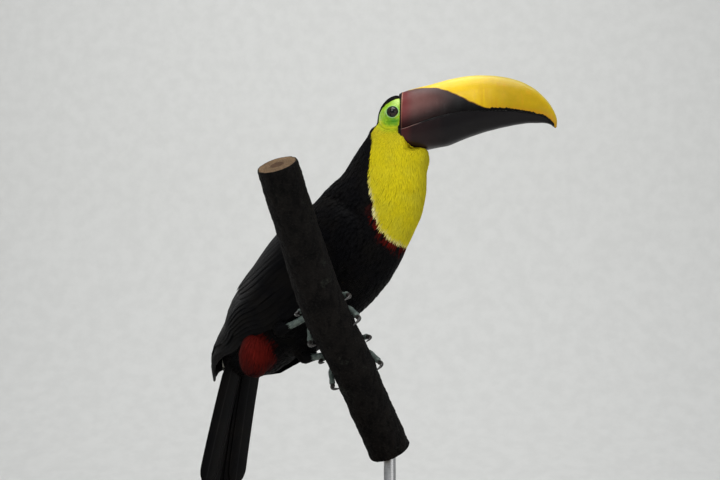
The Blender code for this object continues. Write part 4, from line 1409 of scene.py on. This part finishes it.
def closed_tube(route, radii, columns, rows, relief=lambda length, angle: 0):
    """A bmesh of a tube with round ends along a route of points. relief adds to its radius at each place."""
    stops = sampled(np.column_stack([np.asarray(route, float), radii]), rows)
    middles, size = stops[:, :3], stops[:, 3]
    run = unit(np.gradient(middles, axis=0))
    length = np.concatenate([[0], np.cumsum(np.linalg.norm(np.diff(middles, axis=0), axis=1))])
    side = unit(np.cross(run, SKEW))
    up = np.cross(side, run)

    def place(across, along):
        k = np.rint(along * (rows - 1)).astype(int)
        ends = np.minimum(length[k], length[-1] - length[k])
        cap = np.sqrt(np.clip(1 - (1 - np.clip(ends / size[k], 0, 1)) ** 2, 0.0, 1))
        angle = across * math.tau
        r = size[k] * cap + relief(length[k], angle) * smooth(0, 0.4, cap)
        return middles[k] + (side[k] * np.cos(angle)[:, None] + up[k] * np.sin(angle)[:, None]) * r[:, None]

    return surface(columns, rows, place)


def scutes(pitch, deep):
    """Relief of a tube ringed with plates."""
    def relief(length, angle):
        return deep * (np.abs(np.sin(np.pi * length / pitch + 0.5 * np.cos(angle))) ** 0.4 - 0.8)
    return relief


def legs():
    """Skin of each lower leg with its toes, ringed with scutes, and the claws."""
    for name, spec in LEGS.items():
        grip, angle = spec["grip"], spec["angle"]
        hip, heel, ball = leg_places(spec)
        run, up_leg = unit(heel - ball), unit(hip - heel)
        middle = (heel + ball + run * PAD_RADII[2]) / 2 - [0, 0, 1.5]
        route = [heel + up_leg * 12, heel + up_leg * 4 + run * 1.5, middle * 0.35 + heel * 0.65, middle, ball]
        flesh = closed_tube(route, [3.6, 4.6, 3.9, 3.4, 4.3], 40, 110, scutes(3.1, 0.4))
        horn = bmesh.new()
        for shift, sweep, slide, radius, claw_length in TOES.values():
            sign = math.copysign(1, sweep)
            t = np.linspace(-0.22, 1, 16)
            inward = np.clip(-t / 0.22, 0, 1)
            station = grip + (shift * (1 - 0.6 * inward) + slide * np.maximum(t, 0)) / STATION_LENGTH
            reach = angle + sign * (TOE_START - 13 * inward) + sweep * np.maximum(t, 0)
            knuckle = 1 + 0.10 * np.cos(4 * np.pi * t)
            size = radius * knuckle * (1.06 - 0.16 * t)
            route = branch_points(station, reach, size * 0.93 + 0.5 + 1.4 * inward)
            flesh.from_mesh(mesh_of("toe", closed_tube(route, size, 34, 110, scutes(2.5, 0.34))))
            t = np.linspace(-0.12, 1, 14)
            out = np.clip(t, 0, 1)
            station = grip + (shift + slide * (1 + 0.1 * t)) / STATION_LENGTH
            begin, turn = angle + sign * (TOE_START + 3.2) + sweep, sign * math.degrees(claw_length / 26)
            arch = radius * 0.95 + 0.7 + 2.6 * np.sin(np.pi * np.clip(t * 1.15, 0, 1)) - 1.7 * out
            size = radius * 0.74 * (1 - out) ** 0.75 + 0.12
            route = branch_points(station, begin + turn * t, arch)
            horn.from_mesh(mesh_of("claw", closed_tube(route, size, 18, 40)))
        pad = Matrix.Scale(MM, 4) @ Matrix.Translation(Vector(ball)) @ Matrix.Diagonal((*PAD_RADII, 1))
        bmesh.ops.create_uvsphere(flesh, u_segments=32, v_segments=20, radius=1, matrix=pad)
        mesh = remeshed(f"leg_{name}", flesh, 0.45, 1)
        toes = [f"toe_{toe}_{name}" for toe in TOES]
        piece(f"leg_skin_{name}", mesh, LEG_SKIN, "leg_skin", f"tarsus_{name}", f"foot_{name}", *toes)
        claws = [f"claw_{toe}_{name}" for toe in TOES]
        piece(f"claws_{name}_foot", mesh_of(f"claws_{name}", horn, 40), HORN, "claw_horn", *claws)


def leg_skin_material():
    """Blue-grey scaled skin, dark along the edges of its plates."""
    material, tree = new_material("scaled_leg_skin", roughness=0.5, specular_ior_level=0.4)
    lines = step(cells(tree, 900.0), 0.02, 0.12)
    colour = mix(step(grain(tree, 260), 0.3, 0.7), (0.080, 0.108, 0.100), (0.17, 0.215, 0.185))
    colour = mix(lines, mix(0.55, colour, (0.030, 0.038, 0.036)), colour)
    return finished(material, base_color=mottled(colour, 420.0, 0.3), normal=bump(lines, 0.16, 0.6),
                    roughness=step(lines, 0.0, 1.0, 0.62, 0.42))


def streaked_material(name, noise, first, second, rough, relief, **constants):
    """A material between two colours, with the same streaks in its colour, roughness and relief."""
    material, tree = new_material(name, **constants)
    streaks = grain(tree, *noise)
    return finished(material, base_color=mix(step(streaks, 0.3, 0.7), first, second),
                    roughness=step(streaks, 0.3, 0.7, *rough), normal=bump(streaks, relief, 0.4))


def horn_material():
    """Dark horn of the claws, streaked along them."""
    return streaked_material("claw_horn", (500, (1, 1, 0.3)), (0.012, 0.011, 0.011), (0.05, 0.045, 0.04),
                             (0.24, 0.4), 0.1, roughness=0.3, specular_ior_level=0.5)


# ---------------------------------------------------------------- perch and stand


def perch():
    """The cut length of branch, with furrowed bark and flat sawn ends."""
    columns, rows, cap = 200, 330, 12

    def place(across, along):
        k = along * (rows - 1)
        inner = np.clip(np.minimum(k, rows - 1 - k) / cap, 0, 1)
        body = np.clip((k - cap) / (rows - 1 - 2 * cap), 0, 1)
        u, angle = body * (len(BRANCH) - 1), across * 360
        flat = branch_points(u, angle, 0)
        ridges = wave_noise(flat * [1.0, 1.0, 0.42], 7.0, 2.0, 4)
        plates = wave_noise(flat, 26.0, 8.0, 2)
        fine = wave_noise(flat, 2.2, 4.0, 2)
        depth = np.clip(-0.6 + 0.7 * ridges + 0.4 * plates + 0.28 * fine, -1.5, 0.35)
        depth = depth - 0.9 * smooth(1.6, 0.0, np.minimum(body, 1 - body) * 300)
        at, middle = branch_points(u, angle, depth), curve(BRANCH, u)[:, :3]
        at = np.where((inner < 1)[:, None], middle + (at - middle) * inner[:, None], at)
        return at, dict(cut=smooth(0.985, 0.94, inner), ring_mm=inner * 21, furrow=depth)

    bm, found = marked_surface(columns, rows, place)
    mesh = mesh_of("stand_perch_bark", bm, 55)
    set_values(mesh, **found)
    piece("stand_perch_bark", mesh, bark_material(), "bark", "stand_perch")


def bark_material():
    """Very dark rough bark with grey-brown ridges, painted shade in its furrows, a little lichen, and sawn
    wood at the ends.
    """
    material, tree = new_material("bark", roughness=0.85, specular_ior_level=0.1)
    rough = grain(tree, 430, (1, 1, 1.4), 8.0, 0.7)
    # painted shade: darker the deeper the furrows, below the grey-brown ridges
    bark = mix(step(mark(tree, "furrow"), -1.1, -0.2), (0.0016, 0.0013, 0.0012), (0.0070, 0.0058, 0.0050))
    bark = cover(bark, (0.017, 0.0145, 0.0125), step(rough, 0.5, 0.8))
    lichen = step(grain(tree, 38, detail=3.0), 0.60, 0.72)
    bark = cover(bark, (0.050, 0.056, 0.044), lichen, step(rough, 0.4, 0.6), 0.5)
    ring = mark(tree, "ring_mm")
    rings = calc("SINE", product(calc("ADD", ring, grain(tree, 60)), 5.2))
    wood = mix(step(rings, -0.6, 0.9), (0.14, 0.085, 0.045), (0.24, 0.16, 0.09))
    wood = cover(wood, (0.10, 0.055, 0.03), step(ring, 9, 6))
    relief = bump(step(cells(tree, 210.0, (1, 1, 2.6)), 0.0, 0.10), 0.7, 0.8)
    return finished(material, base_color=mottled(mix(mark(tree, "cut"), bark, wood), 180.0, 0.3),
                    roughness=step(rough, 0.3, 0.7, 0.9, 0.7), normal=bump(rough, 1.4, 0.9, relief))


def stand():
    """An oiled wooden base with rounded corners, and a satin steel rod that rises from a collar."""
    height = BASE_SIZE[2]
    bm = bmesh.new()
    bmesh.ops.create_cube(bm, size=1)
    bmesh.ops.scale(bm, vec=np.array(BASE_SIZE) * MM, verts=bm.verts)
    upright = [edge for edge in bm.edges if abs(edge.verts[0].co.z - edge.verts[1].co.z) > height * MM / 2]
    bevel = dict(profile=0.5, affect="EDGES", material=-1)
    bmesh.ops.bevel(bm, geom=upright, offset=BASE_CORNER * MM, segments=16, **bevel)
    top = [edge for edge in bm.edges if all(vert.co.z > height * MM * 0.49 for vert in edge.verts)]
    bmesh.ops.bevel(bm, geom=top, offset=BASE_BEVEL * MM, segments=6, **bevel)
    bmesh.ops.translate(bm, vec=(0, 0, height * MM / 2), verts=bm.verts)
    mesh = mesh_of("stand_base_board", bm, 30)
    piece("stand_base_board", mesh, base_wood_material(), "base_wood", "stand_base")

    rod, collar, edge = ROD_RADIUS, COLLAR_RADIUS, 1.2
    step_at = height + 0.4 + COLLAR_HEIGHT
    outline = [
        (0, ROD_TOP), (rod - edge, ROD_TOP), (rod, ROD_TOP - edge), (rod, step_at + 1.5),
        (rod + 0.5, step_at + 0.4), (rod + 1.5, step_at), (collar - edge, step_at),
        (collar - 0.35, step_at - 0.35), (collar, step_at - edge), (collar, height),
    ]
    x, y = ROD_AT
    bm = bmesh.new()
    verts = [bm.verts.new(((r + x) * MM, y * MM, z * MM)) for r, z in outline]
    edges = [bm.edges.new(pair) for pair in zip(verts, verts[1:])]
    bmesh.ops.spin(bm, geom=verts + edges, cent=(x * MM, y * MM, 0), axis=(0, 0, 1), angle=math.tau,
                   steps=72, use_merge=True)
    bmesh.ops.remove_doubles(bm, verts=bm.verts, dist=1e-6)
    close_ends(bm)
    piece("stand_rod_steel", mesh_of("stand_rod_steel", bm, 30), steel_material(), "rod_steel", "stand_rod")


def base_wood_material():
    """Dark oiled wood, its grain along the board."""
    material, tree = new_material("oiled_wood", roughness=0.4, specular_ior_level=0.4, coat_weight=0.1,
                                  coat_roughness=0.3)
    figure = grain(tree, 26, (0.22, 1.6, 1.6), 6.0, 0.55, 0.8)
    pores = grain(tree, 420, (0.07, 1.0, 1.0), 3.0)
    colour = mix(step(figure, 0.35, 0.65), (0.075, 0.035, 0.018), (0.16, 0.080, 0.040))
    colour = cover(colour, (0.03, 0.014, 0.008), step(pores, 0.42, 0.3), 0.6)
    return finished(material, base_color=mottled(colour, 60.0, 0.2), normal=bump(pores, 0.08, 0.5),
                    roughness=step(figure, 0.3, 0.7, 0.36, 0.5))


def steel_material():
    """Satin steel, brushed round the rod."""
    return streaked_material("satin_steel", (90, (1, 1, 40), 5.0, 0.7), (0.42, 0.42, 0.42),
                             (0.62, 0.62, 0.61), (0.26, 0.42), 0.03, roughness=0.32, metallic=1.0)


# ---------------------------------------------------------------- floor, light and camera


def studio():
    """A pale floor that curves up into a pale backdrop, soft lights, and the camera."""
    bm = bmesh.new()
    radius, back, front, half, top = 0.9, 3.2, -3.6, 4.2, 3.6
    bend = [(radius * math.sin(a), radius - radius * math.cos(a)) for a in np.linspace(0.1, 1.5, 12)]
    profile = [(front, 0.0), (back - radius, 0.0), *((back - radius + y, z) for y, z in bend)]
    profile += [(back, radius), (back, top)]
    verts = [bm.verts.new((-half, y, z)) for y, z in profile]
    edges = [bm.edges.new(pair) for pair in zip(verts, verts[1:])]
    grown = bmesh.ops.extrude_edge_only(bm, edges=edges)["geom"]
    grown = [part for part in grown if isinstance(part, bmesh.types.BMVert)]
    bmesh.ops.translate(bm, vec=(2 * half, 0, 0), verts=grown)
    bmesh.ops.recalc_face_normals(bm, faces=bm.faces)
    mesh = mesh_of("backdrop", bm)
    material, tree = new_material("pale_paper", roughness=0.9, specular_ior_level=0.2)
    paper = grain(tree, 30, detail=6.0)
    colour = mix(step(paper, 0.3, 0.7), (0.70, 0.70, 0.68), (0.74, 0.74, 0.72))
    mesh.materials.append(finished(material, base_color=colour, normal=bump(paper, 0.3, 0.2)))
    backdrop = place_object("backdrop", mesh)

    model, wall = (0.0, 0.0, 0.3), (0.0, 3.2, 0.5)
    for name, place, aim, size, power in (
        ("key", (-0.45, -1.7, 1.9), model, 1.1, 22),
        ("fill", (1.7, -1.6, 0.9), model, 1.5, 8),
        ("top", (0.2, -0.1, 2.2), model, 1.3, 26),
        ("rim", (-1.4, 1.3, 0.9), model, 0.8, 5),
        ("backdrop", (0.0, 1.5, 1.7), wall, 2.0, 16),
    ):
        light = bpy.data.lights.new(name, "AREA")
        light.size, light.energy = size, power
        lamp = place_object(name, light)
        lamp.location = place
        lamp.rotation_euler = (Vector(aim) - Vector(place)).to_track_quat("-Z", "Y").to_euler()

    scene, world = bpy.context.scene, bpy.data.worlds.new("studio")
    world.use_nodes = True
    sky = world.node_tree.nodes["Background"].inputs
    sky["Color"].default_value = (0.93, 0.96, 1.0, 1.0)
    sky["Strength"].default_value = 0.34
    scene.world = world
    scene.view_settings.view_transform = "Standard"

    camera = place_object("camera", bpy.data.cameras.new("camera"))
    camera.data.lens, camera.data.sensor_width = 100, 36
    camera.location = (0.042, -1.9655, 0.02665)
    camera.rotation_euler = (math.radians(98), 0, 0)
    scene.camera = camera


# ---------------------------------------------------------------- the whole model

EYE, BARE_SKIN, LEG_SKIN, HORN = eye_material(), bare_skin_material(), leg_skin_material(), horn_material()


def main():
    studio()
    body_skin = skin()
    tree = skin_tree(body_skin)
    for side in (RIGHT, LEFT):
        eye(side)
        face_patch(side, tree)
    mandible("bill_upper_horn", True, bill_upper_material(), "bill_yellow", "bill_upper")
    mandible("bill_lower_horn", False, bill_lower_material(), "bill_dark", "bill_lower")
    legs()
    wings()
    tail()
    coat(body_skin, tree)
    perch()
    stand()


main()
